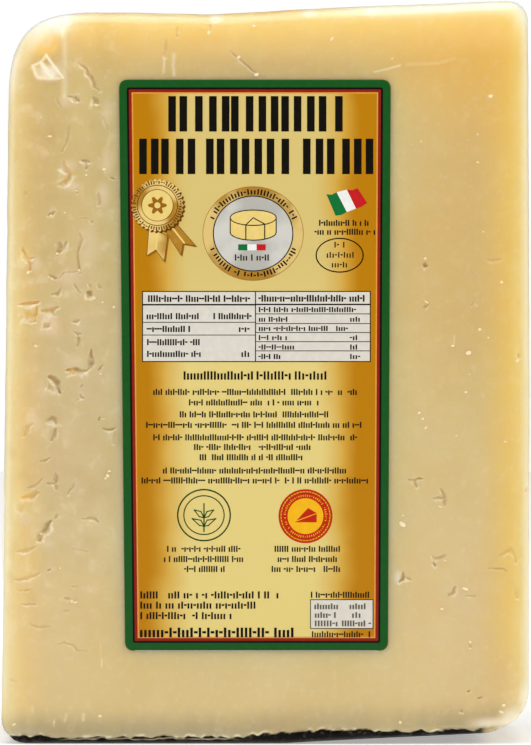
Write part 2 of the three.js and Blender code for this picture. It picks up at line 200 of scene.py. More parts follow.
class Shade(Wiring):
    """A procedural material, with short calls for the nodes that the finishes share."""

    def __init__(self, name: str) -> None:
        """Makes a material with one surface shader.

        Args:
            name: the material's name.
        """
        self.material = bpy.data.materials.new(name)
        self.material.use_nodes = True
        super().__init__(self.material.node_tree)
        self.shader = self.tree.nodes["Principled BSDF"]

    def place(self, stretch: Triple = (1, 1, 1)) -> Socket:
        """Object coordinates, made larger along X, Y and Z so that a pattern on them gets finer."""
        coordinates = self.node("ShaderNodeTexCoord").outputs["Object"]
        return self.node("ShaderNodeMapping", {"Vector": coordinates, "Scale": stretch}).outputs["Vector"]

    def split(self) -> bpy.types.NodeOutputs:
        """Object coordinates as their three numbers."""
        return self.node("ShaderNodeSeparateXYZ", {0: self.place()}).outputs

    def noise(self, grain: float, detail: float = 3, stretch: Triple = (1, 1, 1)) -> Socket:
        """Cloudy noise between 0 and 1 whose blots are about grain millimetres across."""
        feeds = {"Vector": self.place(stretch), "Scale": 1 / (grain * MM), "Detail": detail}
        return self.node("ShaderNodeTexNoise", feeds).outputs["Fac"]

    def attribute(self, name: str, output: str = "Fac") -> Socket:
        """The mesh's own number or colour of that name."""
        return self.node("ShaderNodeAttribute", attribute_name=name).outputs[output]

    def math(self, operation: str, first: object, second: object = 0.0) -> Socket:
        """One arithmetic step on two numbers or sockets."""
        return self.node("ShaderNodeMath", {0: first, 1: second}, operation=operation).outputs[0]

    def ease(self, value: object, low: float, high: float, to: Point = (0.0, 1.0)) -> Socket:
        """A value eased from one range onto another, held at both ends."""
        feeds = {"Value": value, "From Min": low, "From Max": high, "To Min": to[0], "To Max": to[1]}
        return self.node("ShaderNodeMapRange", feeds, interpolation_type="SMOOTHSTEP").outputs["Result"]

    def mix(self, share: object, first: object, second: object, blend: str = "MIX") -> Socket:
        """Two colours mixed by a share."""
        feeds = {"Factor": share, 6: first, 7: second}
        return self.node("ShaderNodeMix", feeds, data_type="RGBA", blend_type=blend).outputs[2]

    def bump(self, height: object, distance: float, strength: float, below: object = None) -> Socket:
        """Relief finer than the mesh.

        Args:
            height: the height, from 0 to 1.
            distance: how high 1 is, in millimetres.
            strength: how much of it shows.
            below: the normal that it lies on, if any.

        Returns:
            The normal output.
        """
        feeds = {"Height": height, "Distance": distance * MM, "Strength": strength}
        if below is not None:
            feeds["Normal"] = below
        return self.node("ShaderNodeBump", feeds).outputs["Normal"]

    def surface(self, **sockets: object) -> Material:
        """Sets the shader's sockets.

        Args:
            sockets: their values, named with _ for each space.

        Returns:
            The material.
        """
        for name, value in sockets.items():
            self.feed(self.shader.inputs[name.replace("_", " ")], value)
        return self.material


@dataclass(frozen=True)
class PasteFinish:
    """Hard pale cheese under a tight clear film, with a dark rind along its base."""

    warmer: Colour = (1.0, 0.96, 0.90)
    paler: Colour = (1.03, 1.05, 1.14)
    hollow: Colour = (0.70, 0.61, 0.32)
    golden: Colour = srgb(228, 196, 114)
    bloom: Colour = srgb(255, 244, 214)
    rind: Colour = srgb(12, 9, 6)
    rind_pale: Colour = srgb(58, 52, 43)
    scatter: tuple[float, float, float] = (1.0, 0.76, 0.36)
    scatter_depth: float = 9.0
    roughness: float = 0.42
    film_gloss: float = 0.16
    film_share: float = 0.7

    def material(self) -> Material:
        """Builds the material from the mesh's own tint, painted shade, glow and highlight, and rind
        numbers.

        Returns:
            The material.
        """
        shade = Shade("paste")
        clouds = shade.noise(16, 3)
        streaks = shade.noise(9, 4, (1, 1, 0.35))
        grain = shade.noise(1.6, 5)
        mottle = shade.noise(3.2, 4)
        rough = shade.attribute("rough")
        body = shade.attribute("tint", "Color")
        body = shade.mix(shade.ease(clouds, 0.4, 0.7, (0, 0.8)), body, self.warmer, "MULTIPLY")
        body = shade.mix(shade.ease(streaks, 0.45, 0.75, (0, 0.7)), body, self.paler, "MULTIPLY")
        olive = shade.math("MULTIPLY", rough, shade.ease(mottle, 0.52, 0.75, (0, 0.22)))
        body = shade.mix(olive, body, self.hollow, "MULTIPLY")
        milky = shade.math("MULTIPLY", rough, shade.ease(mottle, 0.48, 0.28, (0, 0.24)))
        body = shade.mix(milky, body, self.bloom)
        body = shade.mix(shade.ease(grain, 0.5, 0.8, (0, 0.12)), body, self.bloom)
        # Painted shade in the openings.
        body = shade.mix(shade.attribute("hollow"), body, self.hollow, "MULTIPLY")
        # Painted glow of light through the openings near an edge.
        body = shade.mix(shade.attribute("golden"), body, self.golden)
        # Pale flecks, with painted highlights on the openings' lower lips and on the film creases.
        body = shade.mix(shade.attribute("bloom"), body, self.bloom)
        rind = shade.attribute("rind")
        dark = shade.mix(shade.ease(shade.noise(1.1, 4), 0.52, 0.72), self.rind, self.rind_pale)
        body = shade.mix(rind, body, dark)
        wrinkles = shade.bump(shade.noise(2.6, 4), 0.10, 0.5)
        fine = shade.bump(shade.noise(0.5, 3), 0.02, 0.5, wrinkles)
        film = shade.bump(shade.noise(7, 3, (1, 1, 0.6)), 0.22, 0.6)
        return shade.surface(
            Base_Color=body,
            Roughness=shade.ease(grain, 0.3, 0.8, (self.roughness - 0.06, self.roughness + 0.12)),
            Subsurface_Weight=1.0,
            Subsurface_Radius=self.scatter,
            Subsurface_Scale=self.scatter_depth * MM,
            Metallic=shade.ease(rind, 0.3, 0.9, (0, 0.85)),
            Coat_Weight=shade.ease(rind, 0.0, 1.0, (self.film_share, 0.02)),
            Coat_Roughness=self.film_gloss,
            Coat_IOR=1.45,
            Normal=fine,
            Coat_Normal=film,
        )


class Ink(Enum):
    """The printed colours of the label."""

    GREEN = srgb(20, 84, 28)
    EDGE = srgb(96, 128, 78)
    BLACK = srgb(12, 4, 2)
    RED = srgb(140, 32, 10)
    ORANGE = srgb(228, 150, 66)
    BROWN = srgb(12, 7, 0)
    PANEL = srgb(221, 216, 205)
    GREY = srgb(96, 90, 78)
    PALE = srgb(226, 226, 206)
    FLAG_GREEN = srgb(14, 112, 52)
    FLAG_WHITE = srgb(240, 240, 234)
    FLAG_RED = srgb(196, 26, 30)
    SEAL_RED = srgb(192, 36, 10)
    SEAL_YELLOW = srgb(246, 184, 24)
    UMBER = srgb(96, 58, 8)
    AMBER = srgb(152, 98, 14)
    PALE_GOLD = srgb(236, 208, 124)


class Ground(Enum):
    """The label's broad grounds, which aren't one even ink."""

    GOLD_FIELD = "gold_field"
    GOLD_RING = "gold_ring"
    SILVER_DISC = "silver_disc"
    ROSETTE = "rosette"


@dataclass(frozen=True)
class PrintSheen:
    """How the varnished print takes light."""

    gloss: float = 0.38
    specular: float = 0.1
    varnish: float = 0.06
    varnish_gloss: float = 0.1

    def surface(self, shade: Shade, body: object) -> Material:
        """Ends a print material.

        Args:
            shade: the material's tree.
            body: its colour.

        Returns:
            The material, varnished.
        """
        return shade.surface(
            Base_Color=body,
            Roughness=self.gloss,
            Specular_IOR_Level=self.specular,
            Coat_Weight=self.varnish,
            Coat_Roughness=self.varnish_gloss,
            Coat_Normal=shade.bump(shade.noise(9, 2), 0.12, 0.5),
        )


@dataclass(frozen=True)
class PrintFinish:
    """A printed colour under varnish and film."""

    ink: Ink
    uneven: float = 0.35

    def material(self) -> Material:
        """Builds the material, with a slight unevenness in the ink.

        Returns:
            The material.
        """
        shade = Shade(f"print_{self.ink.name.lower()}")
        colour = self.ink.value
        lighter = tuple(min(1.0, 1.2 * channel + 0.004) for channel in colour)
        body = shade.mix(shade.ease(shade.noise(1.4, 4), 0.4, 0.75, (0, self.uneven)), colour, lighter)
        return PrintSheen().surface(shade, body)


@dataclass(frozen=True)
class GoldFieldFinish:
    """The label's ground: pale gold down the middle, deep amber towards both sides."""

    middle: Colour = srgb(230, 209, 131)
    upper: Colour = srgb(219, 196, 120)
    fade_from: float = 72.0
    fade_to: float = 98.0
    flank: Colour = srgb(214, 167, 62)
    side: Colour = srgb(189, 126, 1)
    centre_x: float = -2.4
    half_width: float = 23.7

    def material(self) -> Material:
        """Builds the material from the height and the distance to the label's middle line.

        Returns:
            The material.
        """
        shade = Shade("print_gold_field")
        place = shade.split()
        off = shade.math("ABSOLUTE", shade.math("SUBTRACT", place["X"], self.centre_x * MM))
        share = shade.math("DIVIDE", off, self.half_width * MM)
        share = shade.math("ADD", share, shade.ease(shade.noise(12, 2), 0.3, 0.7, (-0.03, 0.03)))
        upper = shade.ease(place["Z"], self.fade_from * MM, self.fade_to * MM)
        body = shade.mix(upper, self.middle, self.upper)
        body = shade.mix(shade.ease(share, 0.5, 0.78), body, self.flank)
        body = shade.mix(shade.ease(share, 0.68, 0.88), body, self.side)
        return PrintSheen().surface(shade, body)


@dataclass(frozen=True)
class SheenFinish:
    """Printed metal: light and dark by turns round a middle point."""

    name: str
    centre: Point
    light: Colour
    dark: Colour
    turn: float
    waves: float = 2.0

    def material(self) -> Material:
        """Builds the material from the direction to the middle point, in the frame's X and Z.

        Returns:
            The material.
        """
        shade = Shade(f"print_{self.name}")
        place = shade.split()
        across = shade.math("SUBTRACT", place["X"], self.centre[0] * MM)
        up = shade.math("SUBTRACT", place["Z"], self.centre[1] * MM)
        angle = shade.math("ADD", shade.math("ARCTAN2", up, across), math.radians(self.turn))
        sway = shade.ease(shade.noise(5, 2), 0.3, 0.7, (-0.35, 0.35))
        wave = shade.math("COSINE", shade.math("MULTIPLY", shade.math("ADD", angle, sway), self.waves))
        body = shade.mix(shade.ease(wave, -0.9, 0.9), self.dark, self.light)
        return PrintSheen().surface(shade, body)


MEDALLION_MIDDLE = (-2.4, 100.2)
ROSETTE_MIDDLE = (-21.1, 105.7)
GROUND_FINISHES = {
    Ground.GOLD_FIELD: GoldFieldFinish(),
    Ground.GOLD_RING: SheenFinish(
        "gold_ring", MEDALLION_MIDDLE, srgb(226, 196, 122), srgb(176, 128, 42), 8),
    Ground.SILVER_DISC: SheenFinish(
        "silver_disc", MEDALLION_MIDDLE, srgb(212, 210, 202), srgb(184, 182, 174), 0),
    Ground.ROSETTE: SheenFinish(
        "rosette", ROSETTE_MIDDLE, srgb(238, 206, 126), srgb(178, 126, 36), -60),
}


@dataclass(frozen=True)
class GlintBeadFinish:
    """Small glossy beads on the film, whose pale cream colour paints glints of light."""

    # Pale cream that paints glints of light on the film.
    tint: Colour = srgb(255, 240, 200)
    shaded: Colour = srgb(250, 226, 172)

    def material(self) -> Material:
        """Builds the glossy cream material.

        Returns:
            The material.
        """
        shade = Shade("bead")
        body = shade.mix(shade.noise(0.6, 2), self.tint, self.shaded)
        return shade.surface(Base_Color=body, Roughness=0.25, Coat_Weight=0.6, Coat_Roughness=0.08)


@dataclass(frozen=True)
class StageFinish:
    """The plain pale floor, whose own glow paints the studio light on it: how bright it is near the chunk
    and far from it.
    """

    colour: Colour = srgb(246, 245, 243)
    near: float = 0.42
    far: float = 0.85
    near_metres: float = 0.12
    far_metres: float = 0.6

    def material(self) -> Material:
        """Builds a matt pale surface whose painted glow brightens towards the far surroundings.

        Returns:
            The material.
        """
        shade = Shade("floor_pale")
        body = shade.mix(shade.noise(60, 2), self.colour, tuple(0.97 * c for c in self.colour))
        reach = shade.node("ShaderNodeVectorMath", {0: shade.place()}, operation="LENGTH")
        span = (self.near_metres, self.far_metres)
        glow = shade.ease(reach.outputs["Value"], *span, (self.near, self.far))
        return shade.surface(
            Base_Color=body,
            Roughness=0.7,
            Emission_Color=self.colour,
            Emission_Strength=glow,
        )


# ---- Mesh helpers ----


def placed(name: str, data: bpy.types.ID) -> Piece:
    """Links a new object to the scene.

    Args:
        name: its name.
        data: its mesh, light or camera.

    Returns:
        The object, at the origin.
    """
    made = bpy.data.objects.new(name, data)
    bpy.context.scene.collection.objects.link(made)
    return made


def mesh_object(
    name: str, vertices: Array, faces: list, materials: list, slots: list | None = None
) -> Piece:
    """Links a mesh object whose place is in its vertices.

    Args:
        name: the piece's name.
        vertices: one corner a row, in millimetres.
        faces: corner numbers of each face.
        materials: the materials, in slot order.
        slots: the slot of each face, or None where there is one material.

    Returns:
        The object, at the origin.
    """
    mesh = bpy.data.meshes.new(name)
    mesh.from_pydata((np.asarray(vertices, float) * MM).tolist(), [], [list(f) for f in faces])
    for material in materials:
        mesh.materials.append(material)
    if slots is not None:
        mesh.polygons.foreach_set("material_index", np.asarray(slots, np.int32))
    mesh.update()
    return placed(name, mesh)


def shade_smooth(piece: Piece) -> None:
    """Shades every face of a mesh smooth."""
    piece.data.polygons.foreach_set("use_smooth", np.ones(len(piece.data.polygons), bool))


def dress(piece: Piece, slot: str, *nodes: str) -> Piece:
    """Ties a finished piece to the frame.

    Args:
        piece: the piece.
        slot: the name of the record's material slot; not used.
        nodes: the frame's nodes that it stands for, if any.

    Returns:
        The piece.
    """
    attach(piece, BODY)
    if nodes:
        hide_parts(*nodes)
    corners = sum(len(face.vertices) - 2 for face in piece.data.polygons)
    log.info("%s: %d triangles", piece.name, corners)
    return piece


# ---- The cheese ----


class Side(Enum):
    """A broad face of the block: the axis that it looks along, which way, and its level axis."""

    FRONT = (1, -1, 0)
    BACK = (1, 1, 0)
    LEFT = (0, -1, 1)
    RIGHT = (0, 1, 1)

    def flat(self, points: Array) -> Array:
        """Places seen square on: along the face's level axis, and up."""
        return points[:, [self.value[2], 2]]

    def looks(self, normals: Array) -> Array:
        """How squarely each normal looks the way the face does, from -1 to 1."""
        return normals[:, self.value[0]] * self.value[1]


@dataclass(frozen=True)
class Tear:
    """A ragged opening along a broken line on a face, in the face's level axis and height.

    tone is how dark its painted shade is; the flag after it marks those near an edge that get a painted
    glow.
    """

    points: tuple[Point, ...]
    width: float
    depth: float
    tone: float
    golden: bool = False
    side: Side = Side.FRONT


FRONT_TEARS = tuple(Tear(*row) for row in (
    (((-36.7, 133.7), (-35, 132.5), (-34, 131), (-33.4, 129.1), (-32.6, 128.3)), 0.82, 0.5, 0.5),
    (((-33.6, 126.6), (-32.8, 125.7)), 0.98, 0.6, 0.6),
    (((-38.4, 127.3), (-37.3, 127.1), (-36.4, 126.3)), 0.86, 0.6, 0.6),
    (((-40.8, 126.8), (-40.5, 125.8), (-39.9, 125.1)), 0.47, 0.2, 0.2),
    (((-38.4, 121.5), (-38.6, 119.9), (-38.9, 118.2), (-39.8, 116.4)), 0.47, 0.25, 0.3),
    (((-39.5, 114.4), (-39.3, 113.1), (-38.1, 112), (-38.7, 111), (-39.9, 109.8)), 1.3, 0.7, 0.6, True),
    (((-35.8, 114.7), (-34.7, 114.5)), 1.1, 0.7, 0.6),
    (((-35.3, 114.4), (-35, 113)), 0.78, 0.5, 0.5),
    (((-31.9, 123.3), (-31.2, 121.7), (-30.8, 120.5)), 0.43, 0.2, 0.3),
    (((-30.4, 111.3), (-29.4, 110.9)), 0.51, 0.4, 0.7),
    (((-37.2, 108.9), (-37, 108.2)), 0.59, 0.3, 0.4),
    (((-47.2, 108.6), (-47, 107.8)), 0.51, 0.3, 0.3, True),
    (((-32.6, 108), (-32.5, 105.9)), 0.82, 0.35, 0.4),
    (((-42.6, 104), (-41.6, 104.5)), 0.71, 0.5, 0.6),
    (((-34, 103), (-33.8, 102.5)), 0.63, 0.4, 0.5),
    (((-36.4, 103.3), (-35.1, 103.3), (-34.3, 103.1)), 0.35, 0.15, 0.15),
    (((-40.5, 98.6), (-40.2, 97.6), (-40.6, 96.4)), 1.2, 0.65, 0.45),
    (((-38.9, 98.7), (-39.5, 97.8), (-40.2, 96.9)), 0.71, 0.5, 0.5),
    (((-36.2, 100.4), (-36, 99.2), (-36.9, 96.6), (-36.5, 92.6)), 0.59, 0.45, 0.45),
    (((-36.5, 93), (-37.9, 92.9), (-39.5, 92.5), (-40.3, 91.4)), 0.51, 0.3, 0.3),
    (((-47.7, 97), (-46.6, 95.3), (-46.2, 94.4), (-46.2, 93.2)), 0.9, 0.8, 0.5, True),
    (((-46.6, 95.3), (-45.5, 95.5)), 0.59, 0.6, 0.5, True),
    (((-42.3, 92.1), (-41.8, 92), (-41, 91.4)), 0.71, 0.5, 0.6),
    (((-37.4, 90.2), (-36.8, 89.3), (-36.2, 88.4)), 0.51, 0.4, 0.5),
    (((-34.7, 88.9), (-34, 88.2)), 1.4, 0.7, 0.85),
    (((-32.9, 90.3), (-32.3, 89.5)), 0.59, 0.4, 0.5),
    (((-34.8, 90.3), (-34.2, 89.9)), 0.55, 0.3, 0.4),
    (((-41.8, 88.2), (-40.8, 88.5), (-40.1, 89.5)), 0.59, 0.4, 0.5),
    (((-48.3, 86.3), (-46.5, 86.6), (-44.7, 86.8)), 0.82, 0.9, 0.8, True),
    (((-44.8, 86.7), (-45, 85.1), (-45.2, 83.1)), 0.82, 0.9, 0.7, True),
    (((-46.7, 85), (-45.8, 84.4)), 2.5, 0.5, 0.45, True),
    (((-47.3, 82.8), (-45.3, 83)), 0.55, 0.5, 0.5, True),
    (((-43.7, 85.1), (-42.4, 85.2), (-41.1, 86)), 1.2, 0.8, 0.6, True),
    (((-42, 85.4), (-41.5, 84.1)), 0.98, 0.6, 0.5),
    (((-43, 82.5), (-42.6, 82)), 1.1, 0.7, 0.6),
    (((-37.5, 83), (-36.5, 83.3)), 0.71, 0.5, 0.5),
    (((-37.4, 80.9), (-36, 80.7)), 0.63, 0.5, 0.5),
    (((-36.7, 80.7), (-36.7, 79.5), (-36.7, 78.3)), 0.67, 0.5, 0.5),
    (((-45.7, 78.7), (-44.9, 78.3), (-44.4, 78.4)), 0.51, 0.3, 0.35, True),
    (((-34.2, 77.3), (-34.1, 75.8), (-34.3, 74.6), (-34.8, 73.6)), 1.2, 0.75, 0.48),
    (((-34.7, 73.7), (-36.1, 73.3), (-37.7, 73.5), (-38.9, 73.4)), 0.82, 0.7, 0.6),
    (((-38.6, 73.2), (-37.9, 72.8)), 0.98, 0.8, 0.8, True),
    (((-31.8, 74.4), (-32.3, 73.8), (-32.7, 73.4)), 0.47, 0.5, 0.9),
    (((-42.3, 72), (-41.3, 71.7), (-40.6, 70.5), (-40.2, 69.2)), 0.98, 1, 0.7),
    (((-42, 70.7), (-41.6, 70.1)), 1.8, 0.4, 0.3),
    (((-35.9, 70.5), (-36.2, 70.1)), 0.51, 0.4, 0.5),
    (((-36.2, 68.8), (-36.1, 68.2), (-35.6, 67.9)), 0.51, 0.4, 0.6),
    (((-36.1, 68.1), (-37, 67.6)), 0.51, 0.4, 0.5),
    (((-42.3, 63.8), (-41.6, 64), (-41.2, 63.3)), 1.7, 0.8, 0.5),
    (((-41.2, 62), (-41.5, 60.9), (-41.8, 59.6)), 0.86, 0.6, 0.5),
    (((-45.9, 63), (-46.6, 62.3), (-47, 61.5), (-47.2, 60.7)), 0.98, 0.5, 0.25, True),
    (((-32.5, 64.4), (-32.7, 63.5)), 0.43, 0.5, 1),
    (((-32.3, 64.1), (-31.5, 64.1)), 0.43, 0.3, 0.4),
    (((-31.9, 62), (-31, 61.8), (-29.9, 61.8), (-29.4, 62.2)), 0.51, 0.5, 0.85),
    (((-29.7, 61.6), (-29.6, 60.3), (-29.7, 59)), 0.43, 0.2, 0.4),
    (((-44.2, 55.5), (-43.2, 55.7), (-42.1, 56.2)), 0.47, 0.4, 0.6),
    (((-41, 53.2), (-41.1, 51.4)), 0.71, 0.5, 0.5),
    (((-41.1, 51.3), (-42.8, 51.3)), 0.51, 0.4, 0.4),
    (((-41.3, 51.2), (-40.9, 50)), 0.63, 0.4, 0.4),
    (((-43.8, 52.2), (-44.5, 51.3), (-45.2, 50.6), (-46.6, 50.5)), 0.51, 0.35, 0.35),
    (((-37.4, 51.5), (-37.9, 50.5), (-38.4, 49.1)), 0.78, 0.25, 0.3),
    (((-45, 49.3), (-46.3, 48.6), (-47.6, 48.3)), 1.2, 0.7, 0.4, True),
    (((-48.3, 47), (-47.9, 46.2)), 1.9, 0.35, 0.3, True),
    (((-40.9, 45), (-41.1, 44.3)), 0.51, 0.35, 0.4),
    (((-42.1, 43.7), (-42.9, 42.9), (-43.3, 41.8)), 1.4, 0.8, 0.75),
    (((-43.4, 41.9), (-44.1, 40.9), (-44.5, 40.1)), 0.98, 0.8, 0.6),
    (((-44.5, 40.1), (-43.6, 39.8)), 0.59, 0.4, 0.5),
    (((-35.7, 44.3), (-34.7, 44.6), (-33.6, 44.6), (-32.6, 43.7)), 0.51, 0.4, 0.55),
    (((-48.6, 37.9), (-46.9, 38.3), (-45.2, 38.9)), 0.82, 0.3, 0.42, True),
    (((-37.7, 38.6), (-35, 37.9)), 0.51, 0.15, 0.15),
    (((-42.8, 34.1), (-42.1, 34.4)), 0.51, 0.5, 1),
    (((-48.9, 32.3), (-46.5, 32.9), (-44.4, 33.5)), 0.78, 0.4, 0.52, True),
    (((-48.7, 30.2), (-46.5, 30.3), (-45.9, 30.6)), 0.47, 0.3, 0.4, True),
    (((-48, 27.4), (-45.1, 27.5)), 0.51, 0.3, 0.35, True),
    (((-39.2, 28.7), (-38.4, 28.6)), 0.55, 0.3, 0.4),
    (((-39.6, 26.1), (-38.5, 26.3)), 0.55, 0.2, 0.3),
    (((-38, 31.1), (-36.8, 31)), 0.47, 0.2, 0.2),
    (((-46.2, 23.7), (-44.4, 23.2), (-42.5, 23)), 0.6, 0.2, 0.25),
    (((-40.6, 19.7), (-39.4, 20.2), (-37.7, 19.5), (-36.8, 18.5), (-34.9, 18.2)), 0.55, 0.2, 0.22),
    (((-50.3, 12.8), (-49, 12.3)), 0.39, 0.2, 0.25),
    (((-17.3, 140.7), (-17.2, 138.9)), 0.86, 0.4, 0.4, True),
    (((-19.3, 138), (-19.5, 136.4), (-19.6, 134.9)), 0.78, 0.4, 0.4, True),
    (((-10.8, 141.3), (-11, 140.1)), 0.71, 0.4, 0.4, True),
    (((-7.1, 136.2), (-4.9, 134.5), (-2.8, 132.6), (-1.2, 131.2)), 0.47, 0.45, 0.5),
    (((31, 94.2), (31.7, 94)), 0.78, 0.6, 0.9),
    (((31.1, 86), (31.9, 86.1)), 0.67, 0.5, 0.7),
    (((40.8, 86.7), (40.6, 86)), 0.63, 0.4, 0.5, True),
    (((49.8, 76.6), (49.9, 76.1)), 0.63, 0.5, 0.6, True),
    (((28.2, 52), (29.4, 51.8), (30.7, 52.2)), 0.63, 0.6, 0.7),
    (((29.4, 51.7), (29.7, 50.7)), 0.75, 0.6, 0.7),
    (((33.1, 48.2), (34.1, 48.3), (35.1, 48.5)), 0.59, 0.5, 0.5),
    (((34.5, 50.1), (35.2, 49.4), (35.1, 47)), 0.63, 0.5, 0.55),
    (((51.3, 50.3), (51.1, 49.5)), 0.51, 0.3, 0.4),
    (((32.7, 37.2), (33.3, 36.6), (34.3, 36.8), (35.3, 37.1)), 0.55, 0.4, 0.4),
    (((32.9, 35.6), (33.3, 35.1)), 0.71, 0.4, 0.75),
    (((27.2, 33.7), (27, 32.7), (26.4, 32)), 0.75, 0.6, 1),
    (((27.3, 32.9), (28.7, 32.4)), 0.55, 0.4, 0.6),
    (((37.3, 31), (37, 29.9), (36.2, 29.4)), 0.71, 0.5, 0.7),
    (((39, 29.4), (40.2, 29.2), (41.5, 29.2)), 0.39, 0.2, 0.25),
    (((40.1, 19.6), (40.3, 19.1)), 0.51, 0.3, 0.4),
    (((46, 37.1), (48.2, 38.2), (49.4, 36.6), (49.1, 35.7)), 0.78, 0.35, 0.35, True),
    (((43.9, 34.6), (46.3, 34.5), (47.4, 33.9)), 0.47, 0.3, 0.4),
    (((49.1, 30.8), (49.4, 28.7)), 0.78, 0.25, 0.3, True),
    (((39.8, 10.3), (40, 10.7)), 0.59, 0.5, 0.9),
    (((41.6, 8.9), (42.5, 9.3)), 0.51, 0.5, 0.9),
    (((38.4, 6.3), (38.7, 6.5)), 0.55, 0.4, 0.7),
    (((43.7, 95.3), (46, 95.4)), 0.78, 0.2, 0.2),
))


@dataclass(frozen=True)
class Corner:
    """A corner of the front outline: how far its rounding runs along the two edges."""

    across: float
    up: float
    handle: float = 0.56


@dataclass(frozen=True)
class HiddenFace:
    """A face that the front view doesn't show, and the openings spread over it."""

    side: Side
    count: int
    across: float
    low: float
    high: float


class Wash(Enum):
    """Soft colours that lie over the paste's own."""

    PASTE = srgb(220, 198, 139)
    MILKY = srgb(215, 194, 145)
    SAND = srgb(219, 189, 122)
    STRAW = srgb(226, 202, 148)
    AMBER = srgb(233, 190, 90)
    HONEY = srgb(228, 196, 122)
    # The next two paint the glow of light through the top and side edges.
    GOLD = srgb(246, 214, 129)
    SIDE_GOLD = srgb(233, 201, 98)
    YELLOW = srgb(250, 212, 112)
    PINK = srgb(230, 208, 170)
    # Olive tone, and painted shadow of the label.
    OLIVE_AND_LABEL_SHADE = srgb(200, 178, 118)
    TAN = srgb(207, 180, 118)
    # Pale flakes, and painted highlight where light floods the top-left corner and the film's crumples.
    PALE_FLAKE_AND_HIGHLIGHT = srgb(255, 248, 236)
    SHADE = srgb(212, 176, 116)
    # Painted shade along the base.
    FOOT = srgb(128, 122, 102)


class Rim(Enum):
    """The pale light that shows through the edges of the broad faces."""

    TOP = srgb(252, 224, 182)
    CREST = srgb(234, 198, 136)
    RIGHT = srgb(233, 214, 157)
    LEFT = srgb(234, 219, 172)
    BRINK = srgb(252, 243, 220)


@dataclass(frozen=True)
class Patch:
    """A soft oval of colour, as the front shows it: its middle, half sizes, strength and colour."""

    x: float
    z: float
    across: float
    up: float
    strength: float
    wash: Wash

    def share(self, points: Array) -> Array:
        """How much of its colour shows at each place."""
        reach = np.hypot((points[:, 0] - self.x) / self.across, (points[:, 2] - self.z) / self.up)
        return self.strength * (1 - rise(reach, 0.15, 0.85))


def patches(wash: Wash, *spots: tuple[float, float, float, float, float]) -> tuple[Patch, ...]:
    """Patches of one colour, each from its middle, half sizes and strength."""
    return tuple(Patch(*spot, wash) for spot in spots)


BROAD_PATCHES = (
    *patches(Wash.MILKY, (-36, 66, 20, 50, 1)),
    *patches(Wash.SAND, (40, 100, 24, 46, 1)),
    *patches(Wash.STRAW, (36, 28, 22, 30, 0.8)),
    # The honey band along the top and the amber patch at the upper right paint a warmer glow of light
    # through the top edge.
    *patches(Wash.HONEY, (-12, 146, 64, 24, 0.9)),
    *patches(Wash.AMBER, (50, 142, 44, 32, 0.95)),
    *patches(Wash.STRAW, (-42, 22, 16, 24, 0.6)),
)

FRONT_PATCHES = (
    # Painted shadow of the label, beside its left edge and above its top edge.
    *patches(Wash.OLIVE_AND_LABEL_SHADE, (-31.5, 112, 5, 42, 0.45)),
    *patches(Wash.TAN, (-43, 112, 13, 42, 0.45)),
    *patches(Wash.SHADE, (-2, 132.3, 38, 4, 0.45)),
    # Painted highlight where light floods the top-left corner and its left edge.
    *patches(Wash.PALE_FLAKE_AND_HIGHLIGHT, (-47, 144, 15, 9, 1), (-52, 135, 5, 12, 0.9), (-40.2, 143, 3, 5, 0.8)),
    *patches(Wash.YELLOW, (-43.4, 136.2, 3, 1.8, 0.75), (-41.4, 137.6, 1.8, 2.6, 0.6)),
    # Painted highlight on the film's crumpled facets.
    *patches(Wash.PALE_FLAKE_AND_HIGHLIGHT, (-42.3, 131.8, 3.4, 2.3, 0.75)),
    *patches(
        Wash.PINK, (-38.8, 126.2, 2.4, 1.8, 0.8), (-31, 124, 1.6, 4, 0.6),
        (-38.4, 113.4, 2.4, 1.8, 0.8), (-38, 109.6, 2.6, 1.6, 0.9), (-31, 114.6, 1.8, 4, 0.9),
        (-31.8, 107.8, 1.9, 3.6, 0.8), (-34.6, 98, 2.6, 6, 0.45), (-45, 94.2, 1.8, 2.2, 0.8),
        (-38.4, 91.6, 3.6, 2.2, 0.7), (-42.4, 82.2, 3.4, 3.4, 0.95), (-37.6, 75.2, 3.2, 1.8, 0.7),
        (-43.8, 69, 1.8, 1.8, 0.6), (-45, 63, 2, 2.6, 0.7), (-38.9, 61.6, 2, 3, 0.5),
        (-47, 44.2, 2, 1.8, 0.7), (-42.6, 39.2, 1.8, 1.4, 0.8),
    ),
    *patches(Wash.PALE_FLAKE_AND_HIGHLIGHT, (26.1, 32.8, 1.2, 2, 0.5)),
    *patches(
        Wash.YELLOW, (-45.6, 84.8, 2.2, 2.8, 0.45), (-37.8, 73, 1.4, 1, 0.6),
        (-47.4, 96, 2.2, 2.8, 0.25), (-47.2, 48.4, 3, 2, 0.3), (-45.9, 36, 4, 3.4, 0.15),
    ),
    *patches(Wash.OLIVE_AND_LABEL_SHADE, (-34, 50, 1.6, 2.6, 0.35), (-28.6, 60, 1.2, 3, 0.5)),
    # Pale spots along the top edge and pale flakes at the lower right corner.
    *patches(
        Wash.PALE_FLAKE_AND_HIGHLIGHT, (-9.8, 142.5, 1.8, 1.6, 0.6), (8.7, 143.6, 2.2, 1.4, 0.5),
        (21, 144.2, 2.6, 1.6, 0.5), (48.6, 5, 4, 3.2, 0.6), (44, 4.2, 6, 1.6, 0.5),
        (51.2, 9, 2, 4, 0.5),
    ),
)


@dataclass
class Crease:
    """A fold of the tight film: a sharp low ridge along a broken line on the front face, with a painted
    highlight.
    """

    points: tuple[Point, ...]
    height: float = 0.22
    width: float = 0.35
    shine: float = 0.5


